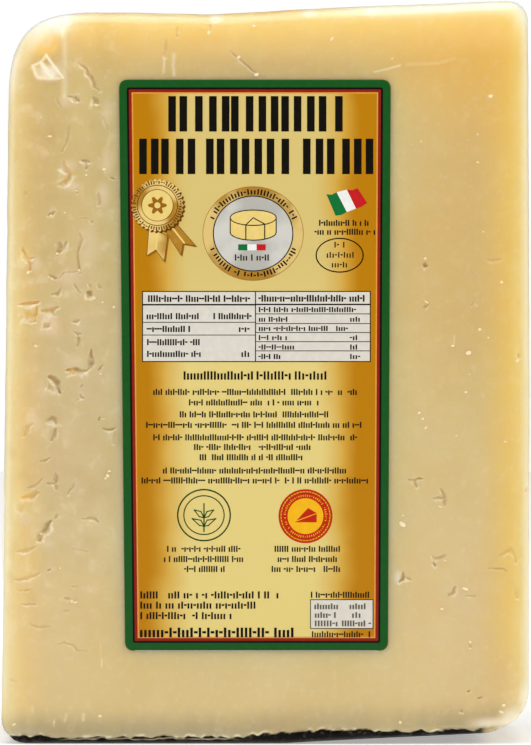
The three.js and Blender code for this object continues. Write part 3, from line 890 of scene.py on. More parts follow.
@dataclass
class Chunk:
    """The block of cheese: its form, its openings, and its numbers for the finish."""

    width: float = 104.0
    height: float = 146.0
    depth: float = 58.0
    base_left: float = -51.9
    top_left: float = -50.5
    top_right: float = 51.7
    top_edge_left: float = 143.8
    top_edge_dip: float = 143.4
    top_dip_x: float = -11.0
    base_level_end: float = 4.0
    base_lift: float = 2.0
    base_lift_x: float = 43.5
    rind_end: float = 42.0
    lift_bend: tuple[Point, Point] = ((0.25, 0.3), (0.5, 0.52))
    lift_corner_rise: float = 0.8
    wall_lean: float = 0.1
    top_sag: float = 0.6
    dip_rise: float = 1.2
    outline_steps: int = 160
    rind_top: tuple[Point, ...] = (
        (-50, 1.35), (-6, 1.4), (2, 2.1), (9, 2.8), (18, 3.0), (23, 2.2), (34, 2.45), (43, 2.9),
    )
    # How strong the painted shade near the base is, along x.
    foot_tone: tuple[Point, ...] = ((-10, 0.6), (4, 0.46), (25, 0.45), (36, 0.64))
    corner_base_left: Corner = Corner(4.9, 4.6)
    corner_base_right: Corner = Corner(8.4, 8.6)
    corner_top_right: Corner = Corner(3.7, 3.6)
    corner_top_left: Corner = Corner(16.0, 16.6, 0.72)
    edge_round: float = 4.2
    base_edge_share: float = 0.45
    face_crown: float = 0.8
    crown_reach: float = 20.0
    wall_wave: float = 0.3
    face_wave: float = 0.2
    wave_pitch: float = 34.0
    columns: int = 78
    rows: int = 109
    edge_steps: int = 6
    wall_steps: int = 30
    division_margins: tuple[float, ...] = (1.7, 0.75, 0.32)
    rind_height: float = 1.5
    hidden_seed: int = 31
    hidden_length: Point = (1.8, 4.8)
    hidden_slimness: Point = (0.3, 0.65)
    hidden_depth: Point = (0.6, 1.2)
    hidden_tone: float = 0.55
    hidden_faces: tuple[HiddenFace, ...] = (
        HiddenFace(Side.RIGHT, 9, 19, 14, 132),
        HiddenFace(Side.BACK, 20, 43, 12, 132),
        HiddenFace(Side.LEFT, 11, 19, 14, 122),
    )
    creases: tuple[Crease, ...] = (
        Crease(((-43.0, 135.3), (-41.4, 133.0), (-39.6, 130.8)), 0.3, 0.3, 1.0),
        Crease(((-44.0, 133.8), (-42.9, 132.2), (-41.8, 130.9)), 0.35, 0.5, 0.9),
        Crease(((-43.0, 135.1), (-44.0, 133.9), (-45.5, 133.1)), 0.2, 0.35, 0.6),
        Crease(((-45.5, 133.1), (-45.0, 131.5), (-44.6, 130.9), (-43.8, 130.8)), 0.26, 0.45, 0.7),
        Crease(((-43.8, 130.8), (-41.5, 130.7), (-39.6, 130.8)), 0.15, 0.4, 0.5),
        Crease(((-39.5, 143.0), (-39.3, 139.0), (-39.3, 134.0), (-39.4, 127.5)), 0.14, 0.8, 0.3),
        Crease(((21.4, 131.9), (23.0, 132.3), (26.4, 133.2)), 0.12, 0.25, 0.35),
        Crease(((28.0, 133.5), (33.9, 133.7), (37.1, 134.7)), 0.06, 0.5, 0.12),
        Crease(((-17.9, 135.4), (-18.1, 133.0), (-17.9, 131.4)), 0.1, 0.45, 0.35),
        Crease(((-19.8, 134.9), (-19.9, 131.8)), 0.08, 0.3, 0.4),
        Crease(((-32.0, 16.8), (-32.1, 15.3)), 0.05, 0.22, 0.45),
        Crease(((-32.3, 20.1), (-32.2, 17.4)), 0.02, 0.2, 0.15),
        Crease(((-45.7, 7.3), (-45.7, 6.4)), 0.04, 0.35, 0.25),
        Crease(((-41.4, 4.7), (-41.5, 3.7)), 0.05, 0.3, 0.3),
        Crease(((-39.0, 5.9), (-39.3, 4.6)), 0.05, 0.35, 0.3),
        Crease(((-35.6, 5.8), (-35.7, 4.8)), 0.04, 0.4, 0.4),
        Crease(((37.1, 80.2), (37.0, 78.6)), 0.04, 0.25, 0.3),
    )
    materials: list = field(default_factory=list)

    @property
    def front_y(self) -> float:
        """The depth of the flat front face."""
        return -self.depth / 2

    # -- the smooth form --

    def outline_curves(self) -> list[list[Point]]:
        """The front outline as straight and cubic pieces.

        Returns:
            Each piece's control points, anticlockwise from the base's left end.
        """
        low_left, low_right = self.corner_base_left, self.corner_base_right
        high_right, high_left = self.corner_top_right, self.corner_top_left
        level_end, lift_end, lift = self.base_level_end, self.base_lift_x, self.base_lift
        bends = [(level_end + across * (lift_end - level_end), up * lift) for across, up in self.lift_bend]
        wall_x = self.width / 2 - self.wall_lean
        left_x = self.top_left + high_left.across
        base_start = (self.base_left + low_left.across, 0)
        lifted = (lift_end, lift)
        right_foot = (wall_x, lift + low_right.up)
        right_middle = (self.width / 2, self.height / 2)
        right_head = (self.top_right, self.height - high_right.up)
        top_right = (self.top_right - high_right.across, self.height)
        dip = (self.top_dip_x, self.top_edge_dip)
        top_left = (left_x, self.top_edge_left)
        left_head = (self.top_left, self.top_edge_left - high_left.up)
        left_foot = (self.base_left, low_left.up)
        return [
            [base_start, (level_end, 0)],
            [(level_end, 0), *bends, lifted],
            [lifted, (lift_end + low_right.handle * low_right.across, lift + self.lift_corner_rise),
             (wall_x, right_foot[1] - low_right.handle * low_right.up), right_foot],
            [right_foot, right_middle],
            [right_middle, right_head],
            [right_head, (self.top_right, self.height - (1 - high_right.handle) * high_right.up),
             (self.top_right - (1 - high_right.handle) * high_right.across, self.height), top_right],
            [top_right, (self.width / 4, self.height - self.top_sag),
             (0.1 * self.width, self.top_edge_dip + self.dip_rise), dip],
            [dip, ((self.top_dip_x + left_x) / 2, self.top_edge_left), top_left],
            [top_left, (left_x - high_left.handle * high_left.across, self.top_edge_left),
             (self.top_left, self.top_edge_left - (1 - high_left.handle) * high_left.up), left_head],
            [left_head, left_foot],
            [left_foot, (self.base_left, (1 - low_left.handle) * low_left.up),
             (base_start[0] - low_left.handle * low_left.across, 0), base_start],
        ]

    def fine_outline(self) -> Array:
        """The front outline as closely spaced points.

        Returns:
            Their x and z, one point a row.
        """
        points = []
        share = np.linspace(0, 1, self.outline_steps, endpoint=False)[:, None, None]
        for curve in self.outline_curves():
            control = np.array(curve, float)[None].repeat(len(share), 0)
            while control.shape[1] > 1:
                control = control[:, :-1] * (1 - share) + control[:, 1:] * share
            points.append(control[:, 0])
        return np.concatenate(points)

    def grid_outline(self) -> Array:
        """The outline as the points that bound the face grid.

        Returns:
            Their x and z, anticlockwise from the lower left.
        """
        fine = self.fine_outline()
        right = self.width / 2
        corners = [(self.base_left, 0), (right, 0), (right, self.height), (self.top_left, self.height)]
        starts = [int(np.argmin(np.hypot(*(fine - corner).T))) for corner in corners]
        sides = []
        for start, end, count in zip(starts, starts[1:] + starts[:1], (self.columns, self.rows) * 2):
            run = fine[start:end + 1] if end > start else np.concatenate([fine[start:], fine[: end + 1]])
            along = np.concatenate([[0], np.cumsum(np.hypot(*np.diff(run, axis=0).T))])
            spots = np.linspace(0, along[-1], count, endpoint=False)
            sides.append(np.stack([np.interp(spots, along, run[:, axis]) for axis in (0, 1)], 1))
        return np.concatenate(sides)

    def face_fall(self, x: Array, z: Array) -> Array:
        """How far the faces fall back outside the label, where they are not dead flat.

        Args:
            x: how far across each place is.
            z: how high it is.

        Returns:
            The fall at each place.
        """
        low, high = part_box("label")
        middle_x, middle_z = (low.x + high.x) / 2 / MM, (low.z + high.z) / 2 / MM
        beside_x = np.maximum(0, np.abs(x - middle_x) - (high.x - low.x) / 2 / MM - 1)
        beside_z = np.maximum(0, np.abs(z - middle_z) - (high.z - low.z) / 2 / MM - 1)
        share = smooth(np.hypot(beside_x, beside_z) / self.crown_reach)
        return share * (self.face_crown + self.face_wave * (1 + self.wave(x, 0 * x, z)))

    def wave(self, x: Array, y: Array, z: Array) -> Array:
        """A slow wave over space.

        Args:
            x: how far across each place is.
            y: how far back it is.
            z: how high it is.

        Returns:
            A value between -1 and 1 for each place.
        """
        k = 2 * math.pi / self.wave_pitch
        across = np.sin(k * x + 0.7 * np.sin(k * z))
        return (across + np.sin(0.8 * k * z + 1.3) + np.sin(1.3 * k * y + 0.6)) / 3

    def ring(self, outline: Array, inset: float, y: float, wall_share: float = 0) -> Array:
        """The outline moved in from its edge, by less along the base, and back to a depth.

        Args:
            outline: the front outline's points.
            inset: how far they move in.
            y: how far back the ring lies.
            wall_share: how much of the walls' slow wave it has.

        Returns:
            The ring's points.
        """
        x, z = outline.T
        y = np.broadcast_to(y, x.shape)
        middle = self.height / 2
        below = smooth((middle - z) / middle)
        inset_z = inset * (1 + (self.base_edge_share - 1) * below)
        swell = wall_share * self.wall_wave * self.wave(x, y, z) * smooth(z / 12)
        moved_x = x * (1 - (inset + swell) / (self.width / 2))
        moved_z = middle + (z - middle) * (1 - inset_z / middle) - swell * ((z - middle) / middle)
        return np.stack([moved_x, y, moved_z], 1)

    def edge_ring(self, outline: Array, angle: float, side: int) -> Array:
        """One ring of the rounding between a face and the walls.

        Args:
            outline: the front outline's points.
            angle: how far round the edge the ring lies, from the face.
            side: -1 for the front, 1 for the back.

        Returns:
            The ring's points.
        """
        inset = self.edge_round * (1 - math.sin(angle))
        flat = self.ring(outline, inset, 0.0)
        back = self.edge_round * (1 - math.cos(angle))
        back = back + self.face_fall(flat[:, 0], flat[:, 2]) * math.cos(angle)
        return self.ring(outline, inset, side * (self.depth / 2 - back))

    def face_grid(self, rim: Array, side: int) -> Array:
        """Fills a face's rim with a grid of points.

        Args:
            rim: the points round the face, anticlockwise from the lower left.
            side: -1 for the front, 1 for the back.

        Returns:
            The points as rows of columns, rim included.
        """
        across, up = self.columns, self.rows
        closed = np.concatenate([rim, rim[:1]])[:, [0, 2]]
        bottom = closed[: across + 1]
        right = closed[across: across + up + 1]
        top = closed[across + up: 2 * across + up + 1][::-1]
        left = closed[2 * across + up:][::-1]
        u = np.linspace(0, 1, across + 1)[None, :, None]
        v = np.linspace(0, 1, up + 1)[:, None, None]
        filled = (1 - v) * bottom[None] + v * top[None] + (1 - u) * left[:, None] + u * right[:, None]
        filled -= (1 - v) * ((1 - u) * bottom[0] + u * bottom[-1]) + v * ((1 - u) * top[0] + u * top[-1])
        x, z = filled[..., 0], filled[..., 1]
        y = side * (self.depth / 2 - self.face_fall(x, z))
        return np.stack([x, y, z], -1)

    def base_mesh(self) -> Piece:
        """Builds the smooth closed block before any relief.

        Returns:
            The block.
        """
        outline = self.grid_outline()
        quarter = math.pi / 2
        inner = self.front_y + self.edge_round
        rings = [self.edge_ring(outline, quarter * i / self.edge_steps, -1) for i in range(self.edge_steps)]
        for i in range(self.wall_steps + 1):
            share = i / self.wall_steps
            swell = float(smooth(4 * share * (1 - share)))
            rings.append(self.ring(outline, 0, inner - 2 * inner * share, swell))
        backwards = reversed(range(self.edge_steps))
        rings += [self.edge_ring(outline, quarter * i / self.edge_steps, 1) for i in backwards]
        around = len(outline)
        vertices = list(np.concatenate(rings))
        faces = []
        for r in range(len(rings) - 1):
            for i in range(around):
                j = (i + 1) % around
                faces.append((r * around + i, (r + 1) * around + i, (r + 1) * around + j, r * around + j))
        for r, side in ((0, -1), (len(rings) - 1, 1)):
            grid = self.face_grid(rings[r], side)
            number = self.grid_numbers(r * around, len(vertices))
            vertices += list(grid[1:-1, 1:-1].reshape(-1, 3))
            quads = np.stack([number[:-1, :-1], number[:-1, 1:], number[1:, 1:], number[1:, :-1]], -1)
            quads = quads.reshape(-1, 4)
            faces += [tuple(q) for q in (quads if side < 0 else quads[:, ::-1]).tolist()]
        return mesh_object("cheese_block", np.array(vertices), faces, self.materials)

    def grid_numbers(self, rim_start: int, inside_start: int) -> Array:
        """The vertex number of each place of a face grid, whose rim points are shared with a ring.

        Args:
            rim_start: the number of the ring's first point.
            inside_start: the number of the first point inside the rim.

        Returns:
            The numbers as rows of columns.
        """
        across, up = self.columns, self.rows
        number = np.zeros((up + 1, across + 1), int)
        count = 2 * (across + up)
        rim = rim_start + np.arange(count + 1) % count
        number[0, :] = rim[: across + 1]
        number[:, -1] = rim[across: across + up + 1]
        number[-1, :] = rim[across + up: 2 * across + up + 1][::-1]
        number[:, 0] = rim[2 * across + up:][::-1]
        inside = inside_start + np.arange((up - 1) * (across - 1))
        number[1:-1, 1:-1] = inside.reshape(up - 1, across - 1)
        return number

    # -- the openings --

    def hidden_tears(self) -> list[Tear]:
        """Spreads the openings of the hidden faces, with the same draws as the frame's block.

        Returns:
            The openings.
        """
        draws = SeededDraws(self.hidden_seed)
        made = []
        for face in self.hidden_faces:
            for i in range(face.count):
                z = face.low + (face.high - face.low) * (i + draws.draw()) / face.count
                across = face.across * (2 * draws.draw() - 1)
                length = draws.between(*self.hidden_length)
                width = length * draws.between(*self.hidden_slimness)
                depth = draws.between(*self.hidden_depth)
                lean = math.radians(180 * draws.draw() - 90)
                half = (length - width) / 2
                step = (half * math.cos(lean), half * math.sin(lean))
                ends = ((across - step[0], z - step[1]), (across + step[0], z + step[1]))
                made.append(Tear(ends, width, depth, self.hidden_tone, side=face.side))
        return made

    @staticmethod
    def along_line(flat: Array, line: tuple[Point, ...]) -> tuple[Array, ...]:
        """Measures places against a broken line.

        Args:
            flat: the places, two numbers each.
            line: the line's points.

        Returns:
            Each place's distance, its share along the line, and its height over the nearest spot.
        """
        runs = [math.dist(a, b) for a, b in zip(line, line[1:])]
        nearest = np.full(len(flat), np.inf)
        share = np.zeros(len(flat))
        above = np.zeros(len(flat))
        done = 0.0
        for (start, end), run in zip(zip(line, line[1:]), runs):
            a, b = np.array(start), np.array(end)
            spot = np.clip(((flat - a) @ (b - a)) / run ** 2, 0, 1)
            off = flat - a - spot[:, None] * (b - a)
            distance = np.hypot(*off.T)
            closer = distance < nearest
            nearest[closer] = distance[closer]
            share[closer] = (done + spot[closer] * run) / sum(runs)
            above[closer] = off[closer, 1]
            done += run
        return nearest, share, above

    def near_tear(self, tear: Tear, points: Array, normals: Array, margin: float) -> Array:
        """Finds the places that lie close to a tear, on its face.

        Args:
            tear: the opening.
            points: the places.
            normals: which way each looks.
            margin: how far outside the opening they may lie.

        Returns:
            Their numbers.
        """
        flat = tear.side.flat(points)
        line = np.array(tear.points)
        low, high = line.min(0) - tear.width - margin, line.max(0) + tear.width + margin
        inside = ((flat > low) & (flat < high)).all(1) & (tear.side.looks(normals) > 0.3)
        return np.where(inside)[0]

    def refine(self, piece: Piece) -> None:
        """Divides the mesh's cells where fine relief comes, in rounds.

        Args:
            piece: the block.
        """
        tears = FRONT_TEARS + tuple(self.hidden_tears())
        rounds = len(self.division_margins)
        for rounds_left, margin in zip(reversed(range(rounds)), self.division_margins):
            work = bmesh.new()
            work.from_mesh(piece.data)
            work.faces.ensure_lookup_table()
            centres = np.array([face.calc_center_median() for face in work.faces]) / MM
            facing = np.array([face.normal for face in work.faces])
            wanted = np.zeros(len(centres), bool)
            for tear in tears:
                if rounds_left == 0 and tear.side is not Side.FRONT:
                    continue
                spots = self.near_tear(tear, centres, facing, margin)
                distance, _, _ = self.along_line(tear.side.flat(centres[spots]), tear.points)
                wanted[spots[distance < 0.75 * tear.width + margin]] = True
            for crease in self.creases:
                distance, _, _ = self.along_line(Side.FRONT.flat(centres), crease.points)
                wanted |= (facing[:, 1] < -0.4) & (distance < crease.width + margin)
            if rounds_left > 0:
                low = self.rind_height + 2 * rounds_left
                wanted |= (centres[:, 2] < low + 1) & (facing[:, 1] < -0.05)
                wanted |= (centres[:, 2] < low) & (facing[:, 2] > -0.5)
            chosen = [face for face, is_wanted in zip(work.faces, wanted) if is_wanted]
            edges = list({edge for face in chosen for edge in face.edges})
            bmesh.ops.subdivide_edges(work, edges=edges, cuts=1, use_grid_fill=True)
            work.to_mesh(piece.data)
            work.free()

    def rind_line(self, points: Array) -> Array:
        """The ragged height at which the paste meets the rind, along the base.

        Args:
            points: the places.

        Returns:
            The height at each.
        """
        x = points[:, 0]
        level = points * np.array([1, 1, 0.0])
        height = np.interp(x, *np.array(self.rind_top).T)
        scallops = 0.55 * np.abs(lattice_noise(level, 2.8, 5)) + 0.2 * lattice_noise(level, 0.8, 6)
        return height - 0.25 + scallops

    def open_tears(self, points: Array, normals: Array) -> dict[str, Array]:
        """Measures every opening at every place.

        Args:
            points: the places.
            normals: which way each looks.

        Returns:
            How far each place sinks, and its painted shade, painted glow and painted lip highlight.
        """
        found = {name: np.zeros(len(points)) for name in ("sunk", "hollow", "golden", "bloom")}
        for index, tear in enumerate(FRONT_TEARS + tuple(self.hidden_tears())):
            spots = self.near_tear(tear, points, normals, 3)
            near = points[spots]
            sway = [
                0.3 * lattice_noise(near, 1.3, seed) + 0.14 * lattice_noise(near, 0.5, seed + 1)
                for seed in (50, 60)
            ]
            flat = tear.side.flat(near) + min(1, 0.4 + 0.5 * tear.width) * np.stack(sway, 1)
            distance, share, above = self.along_line(flat, tear.points)
            ragged = np.maximum(0.35, 1.1 + 0.5 * lattice_noise(near, 0.9, 20 + index))
            reach = distance / (0.5 * tear.width * ragged * (0.55 + 0.45 * np.sin(math.pi * share)))
            floor = 0.85 + 0.35 * lattice_noise(near, 0.7, 12) + 0.15 * lattice_noise(near, 0.3, 13)
            bowl = 0.6 * tear.depth * floor * (1 - rise(reach, 0.1, 1.15))
            found["sunk"][spots] = np.maximum(found["sunk"][spots], bowl)
            # Painted shade in the opening: darker under its upper edge, with a soft halo round it.
            overhang = 0.75 + 0.3 * np.clip(above / (0.5 * tear.width), -1, 1)
            core = (1 - rise(reach, 0.15, 1.05)) * overhang * floor
            halo = 1 - rise(reach, 0.3, 2.0)
            shadow = np.minimum(1, tear.tone * (1.2 * core + 0.28 * halo))
            dark = 0.5 * shadow if tear.golden else shadow
            found["hollow"][spots] = np.maximum(found["hollow"][spots], dark)
            # Painted glow for the openings near an edge.
            if tear.golden:
                found["golden"][spots] = np.maximum(found["golden"][spots], 0.7 * shadow)
            # Painted highlight on the opening's lower lip, broken up by noise.
            below = smooth(-above / (0.3 * tear.width) - 0.2)
            lip_breakup = 0.6 + 0.5 * lattice_noise(near, 0.8, 40 + index)
            lip = bell(reach - 1.6, 0.55) * below * min(1, 1.5 * tear.tone) * lip_breakup
            found["bloom"][spots] = np.maximum(found["bloom"][spots], lip)
            found["sunk"][spots] -= 0.12 * np.maximum(0, lip)
        return found

    def fold_creases(self, points: Array, front: Array) -> tuple[Array, Array]:
        """Measures the film's creases.

        Args:
            points: the places.
            front: how squarely each looks to the front.

        Returns:
            How far each place rises, and how bright its painted highlight is.
        """
        risen, bright = np.zeros(len(points)), np.zeros(len(points))
        for crease in self.creases:
            gap, _, _ = self.along_line(Side.FRONT.flat(points), crease.points)
            risen = np.maximum(risen, crease.height * np.maximum(0, 1 - gap / crease.width) * front)
            bright = np.maximum(bright, crease.shine * bell(gap, 0.8 * crease.width) * front)
        return risen, bright

    def base_band(self, points: Array, boundary: Array, upright: Array) -> dict[str, Array]:
        """The dark rind along the base, with its ragged edge of pale crumb specks.

        Args:
            points: the places.
            boundary: the height of the rind there.
            upright: how squarely each looks to the front.

        Returns:
            The rind, how far the paste is nicked, its pale crumb specks, and a raised film fold painted
            pale as a highlight.
        """
        x, y, z = points.T
        level = points * np.array([1, 1, 0.0])
        above = z - boundary
        rind = (1 - rise(above, -0.08, 0.16)) * (1 - rise(x, self.rind_end, 2))
        corner = (1 - rise(self.edge_distance(points), 0.2, 0.25)) * rise(-x, 46.5, 1.0)
        corner *= (1 - rise(z, 4.0, 1.6)) * (1 - rise(y - self.front_y, 2.4, 1.6))
        nick = bell(above - 0.05, 0.45) * smooth(lattice_noise(level, 2.3, 8) / 0.5)
        crumb = bell(above - 0.22, 0.26) * rise(lattice_noise(level, 1.1, 14), -0.3, 0.7)
        # A raised film fold in the rind, whose pale line is a painted highlight.
        fold_glint = 0.75 * bell(z - 1.0 - 0.14 * lattice_noise(level, 1.6, 15), 0.1)
        fold_glint *= rise(x, -41, 3) * rise(-x, 2, 6) * rise(lattice_noise(level, 2.2, 16), -0.7, 0.5)
        return {"rind": np.maximum(rind, 0.85 * corner), "nick": 0.5 * nick * upright * smooth(z / 0.5),
                "crumb": 0.6 * crumb, "fold_glint": fold_glint * upright}

    def tint(self, points: Array, above_rind: Array) -> Array:
        """The paste's colour from broad soft patches, with painted glow at its lit edges and painted shade
        at its foot.

        Args:
            points: the places.
            above_rind: how far above the rind each lies.

        Returns:
            The colour of each place.
        """
        x, y, z = points.T
        from_face = self.depth / 2 - np.abs(y)
        # Where the painted glow falls: near the edges of the front and back faces.
        lit = (1 - 0.85 * rise(from_face, 3, 7)) * (1 - 0.35 * smooth(y / 10))
        edge = self.edge_distance(points)
        near = lit * (1 - rise(edge, 0.2, 4.2))
        topmost = rise(z, self.height - 8, 5)
        beside = 1 - topmost
        rightwards = rise(x, 4, 24)
        leftwards = 1 - rise(x, -20, 24)
        brink = lit * (1 - smooth((edge - 0.3) / (1.6 + 1.2 * topmost * rightwards))) * rise(z, 6, 6)
        brink *= 0.9 * rightwards * topmost + 0.5 * beside * (x > 0) + 0.3 * leftwards
        # Painted shade, darkening the paste towards the base.
        foot = np.interp(x, *np.array(self.foot_tone).T) * (1 - smooth(above_rind / 6.4))
        facing = 1 - rise(y - self.front_y, 3, 8)
        washes = [
            *((patch.share(points), patch.wash) for patch in BROAD_PATCHES),
            # Painted glow of light through the edges: gold near the sides and top, then the pale rims.
            (0.75 * lit * rise(z, 6, 20) * (1 - rise(self.width / 2 - x, 3, 8.5)), Wash.SIDE_GOLD),
            (0.3 * lit * rise(z, 2, 8) * (1 - rise(self.width / 2 + x, 3, 8)), Wash.GOLD),
            (0.9 * lit * (1 - rise(self.height - z, 4, 9)), Wash.GOLD),
            (0.7 * (1 - rightwards) * near * topmost, Rim.CREST),
            (0.8 * rightwards * near * topmost, Rim.TOP),
            (0.6 * near * beside * (x > 0), Rim.RIGHT),
            (0.6 * near * beside * (x < 0), Rim.LEFT),
            (brink, Rim.BRINK),
            (foot, Wash.FOOT),
            *((patch.share(points) * facing, patch.wash) for patch in FRONT_PATCHES),
        ]
        tint = np.tile(Wash.PASTE.value, (len(points), 1))
        for share, wash in washes:
            tint += share[:, None] * (np.array(wash.value) - tint)
        return tint

    def carve(self, piece: Piece) -> None:
        """Sinks the openings, raises the creases, and stores the numbers that the finish reads.

        Args:
            piece: the block.
        """
        mesh = piece.data
        points = self.read(mesh, "co") / MM
        normals = self.read(mesh, "normal")
        found = self.open_tears(points, normals)
        front = rise(-normals[:, 1], 0.3, 0.5)
        risen, bright = self.fold_creases(points, front)
        boundary = self.rind_line(points)
        band = self.base_band(points, boundary, rise(-normals[:, 1], -0.1, 0.5))
        sunk = found["sunk"] - risen + self.unevenness(points) + band["nick"] - 0.1 * band["fold_glint"]
        moved = points - normals * sunk[:, None]
        mesh.vertices.foreach_set("co", (moved * MM).ravel())
        torn_side = 0.25 + 0.75 * rise(-points[:, 0], 27, 4)
        numbers = {
            # Painted shade in the openings.
            "hollow": found["hollow"],
            # Painted glow of light through the openings near an edge.
            "golden": found["golden"],
            # Pale crumb specks, with painted highlights on lips and creases.
            "bloom": np.maximum(np.maximum(found["bloom"], bright), band["crumb"]),
            "rough": front * torn_side * rise(points[:, 2], 12, 20),
            # The rind gives way along the fold, where its pale line paints a highlight.
            "rind": band["rind"] * (1 - band["fold_glint"]),
        }
        for name, values in numbers.items():
            mesh.attributes.new(name, "FLOAT", "POINT").data.foreach_set("value", values.astype(np.float32))
        tint = np.concatenate([self.tint(points, points[:, 2] - boundary), np.ones((len(points), 1))], 1)
        colours = mesh.attributes.new("tint", "FLOAT_COLOR", "POINT").data
        colours.foreach_set("color", tint.astype(np.float32).ravel())
        mesh.update()

    def unevenness(self, points: Array) -> Array:
        """Low lumps all over, fading where the label lies flat and where the base stands.

        Args:
            points: the places.

        Returns:
            How far each place sinks.
        """
        label_clear = np.minimum(1, self.face_fall(points[:, 0], points[:, 2]) / 0.15)
        base_clear = rise(points[:, 2], 0.4, 2)
        rough = 0.6 + 0.4 * rise(-points[:, 0], 25, 10)
        lumps = 0.09 * lattice_noise(points, 5, 1) + 0.04 * lattice_noise(points, 1.8, 2)
        return lumps * rough * label_clear * base_clear

    @staticmethod
    def read(mesh: bpy.types.Mesh, name: str) -> Array:
        """Reads one vector for each vertex.

        Args:
            mesh: the mesh.
            name: the vertices' own vector to read.

        Returns:
            The vectors, one a row.
        """
        values = np.empty(len(mesh.vertices) * 3)
        mesh.vertices.foreach_get(name, values)
        return values.reshape(-1, 3)

    def edge_distance(self, points: Array) -> Array:
        """How far inside the front outline each place lies.

        Args:
            points: the places.

        Returns:
            The distances, in millimetres.
        """
        outline = self.grid_outline()
        flat = points[:, [0, 2]]
        nearest = np.full(len(points), np.inf)
        for start, end in zip(outline, np.roll(outline, -1, axis=0)):
            run = end - start
            share = np.clip((flat - start) @ run / (run @ run), 0, 1)
            nearest = np.minimum(nearest, np.hypot(*(flat - start - share[:, None] * run).T))
        return nearest

    def build(self) -> Piece:
        """Builds, carves and dresses the block.

        Returns:
            The finished piece.
        """
        self.materials = [PasteFinish().material()]
        piece = self.base_mesh()
        self.refine(piece)
        self.carve(piece)
        shade_smooth(piece)
        return dress(piece, "cheese_paste", "cheese")


# ---- Beads on the film ----


class GrowingTree(Wiring):
    """A geometry node tree with named inputs that sets small forms and ends in one mesh."""

    def __init__(self, name: str, inputs: dict[str, str]) -> None:
        """Makes the tree and its inputs.

        Args:
            name: the tree's name.
            inputs: the kind of each input, by its name.
        """
        super().__init__(bpy.data.node_groups.new(name, "GeometryNodeTree"))
        face = self.tree.interface
        face.new_socket("Geometry", in_out="INPUT", socket_type="NodeSocketGeometry")
        face.new_socket("Geometry", in_out="OUTPUT", socket_type="NodeSocketGeometry")
        for title, kind in inputs.items():
            face.new_socket(title, in_out="INPUT", socket_type=f"NodeSocket{kind}")
        self.given = self.node("NodeGroupInput").outputs

    @staticmethod
    def live(sockets: object, name: str) -> Socket:
        """The enabled socket of that name."""
        return next(socket for socket in sockets if socket.name == name and socket.enabled)

    def random(self, kind: str, low: object, high: object, salt: int) -> Socket:
        """A random value for each form.

        Args:
            kind: FLOAT, INT or FLOAT_VECTOR.
            low: its least value.
            high: its greatest value.
            salt: keeps this draw apart from the others.

        Returns:
            The value output.
        """
        made = self.node("FunctionNodeRandomValue", data_type=kind)
        self.live(made.inputs, "Min").default_value = low
        self.live(made.inputs, "Max").default_value = high
        seed = self.node("ShaderNodeMath", {0: self.given["Seed"], 1: salt}, operation="ADD")
        self.feed(self.live(made.inputs, "Seed"), seed.outputs[0])
        return self.live(made.outputs, "Value")

    def finish(self, forms: Socket) -> None:
        """Turns the forms into one mesh of the given finish, and ends the tree.

        Args:
            forms: the instances.
        """
        whole = self.node("GeometryNodeRealizeInstances", {0: forms})
        feeds = {"Geometry": whole.outputs[0], "Material": self.given["Finish"]}
        self.node("NodeGroupOutput", {0: self.node("GeometryNodeSetMaterial", feeds).outputs[0]})


class BeadTree(GrowingTree):
    """Geometry nodes that set a small flattened bead on every point of a mesh."""

    def __init__(self) -> None:
        """Builds the tree: points, beads of uneven size and turn, one mesh, one finish."""
        super().__init__("beads_on_points", {"Seed": "Int", "Finish": "Material"})
        size = self.node("GeometryNodeInputNamedAttribute", {"Name": "size"}, data_type="FLOAT")
        spread = self.random("FLOAT_VECTOR", (0.7, 0.35, 0.5), (1.5, 0.5, 1.0), 0)
        feeds = {0: spread, "Scale": self.live(size.outputs, "Attribute")}
        grown = self.node("ShaderNodeVectorMath", feeds, operation="SCALE")
        ball = self.node("GeometryNodeMeshIcoSphere", {"Radius": 1.0, "Subdivisions": 3})
        beads = self.node("GeometryNodeInstanceOnPoints", {
            "Points": self.given["Geometry"],
            "Instance": ball.outputs["Mesh"],
            "Scale": grown.outputs[0],
            "Rotation": self.random("FLOAT_VECTOR", (0, -0.9, 0), (0, 0.9, 0), 0),
        })
        self.finish(beads.outputs[0])


def run_tree(piece: Piece, tree: bpy.types.NodeTree, **values: object) -> None:
    """Runs a geometry tree on a piece and keeps the result as its plain mesh.

    Args:
        piece: the object that the tree works on.
        tree: the node tree.
        values: the tree's inputs, named with _ for each space.
    """
    modifier = piece.modifiers.new(tree.name, "NODES")
    modifier.node_group = tree
    for item in tree.interface.items_tree:
        name = item.name.replace(" ", "_")
        if item.in_out == "INPUT" and name in values:
            modifier[item.identifier] = values[name]
    found = piece.evaluated_get(bpy.context.evaluated_depsgraph_get())
    mesh = bpy.data.meshes.new_from_object(found)
    piece.modifiers.clear()
    piece.data = mesh


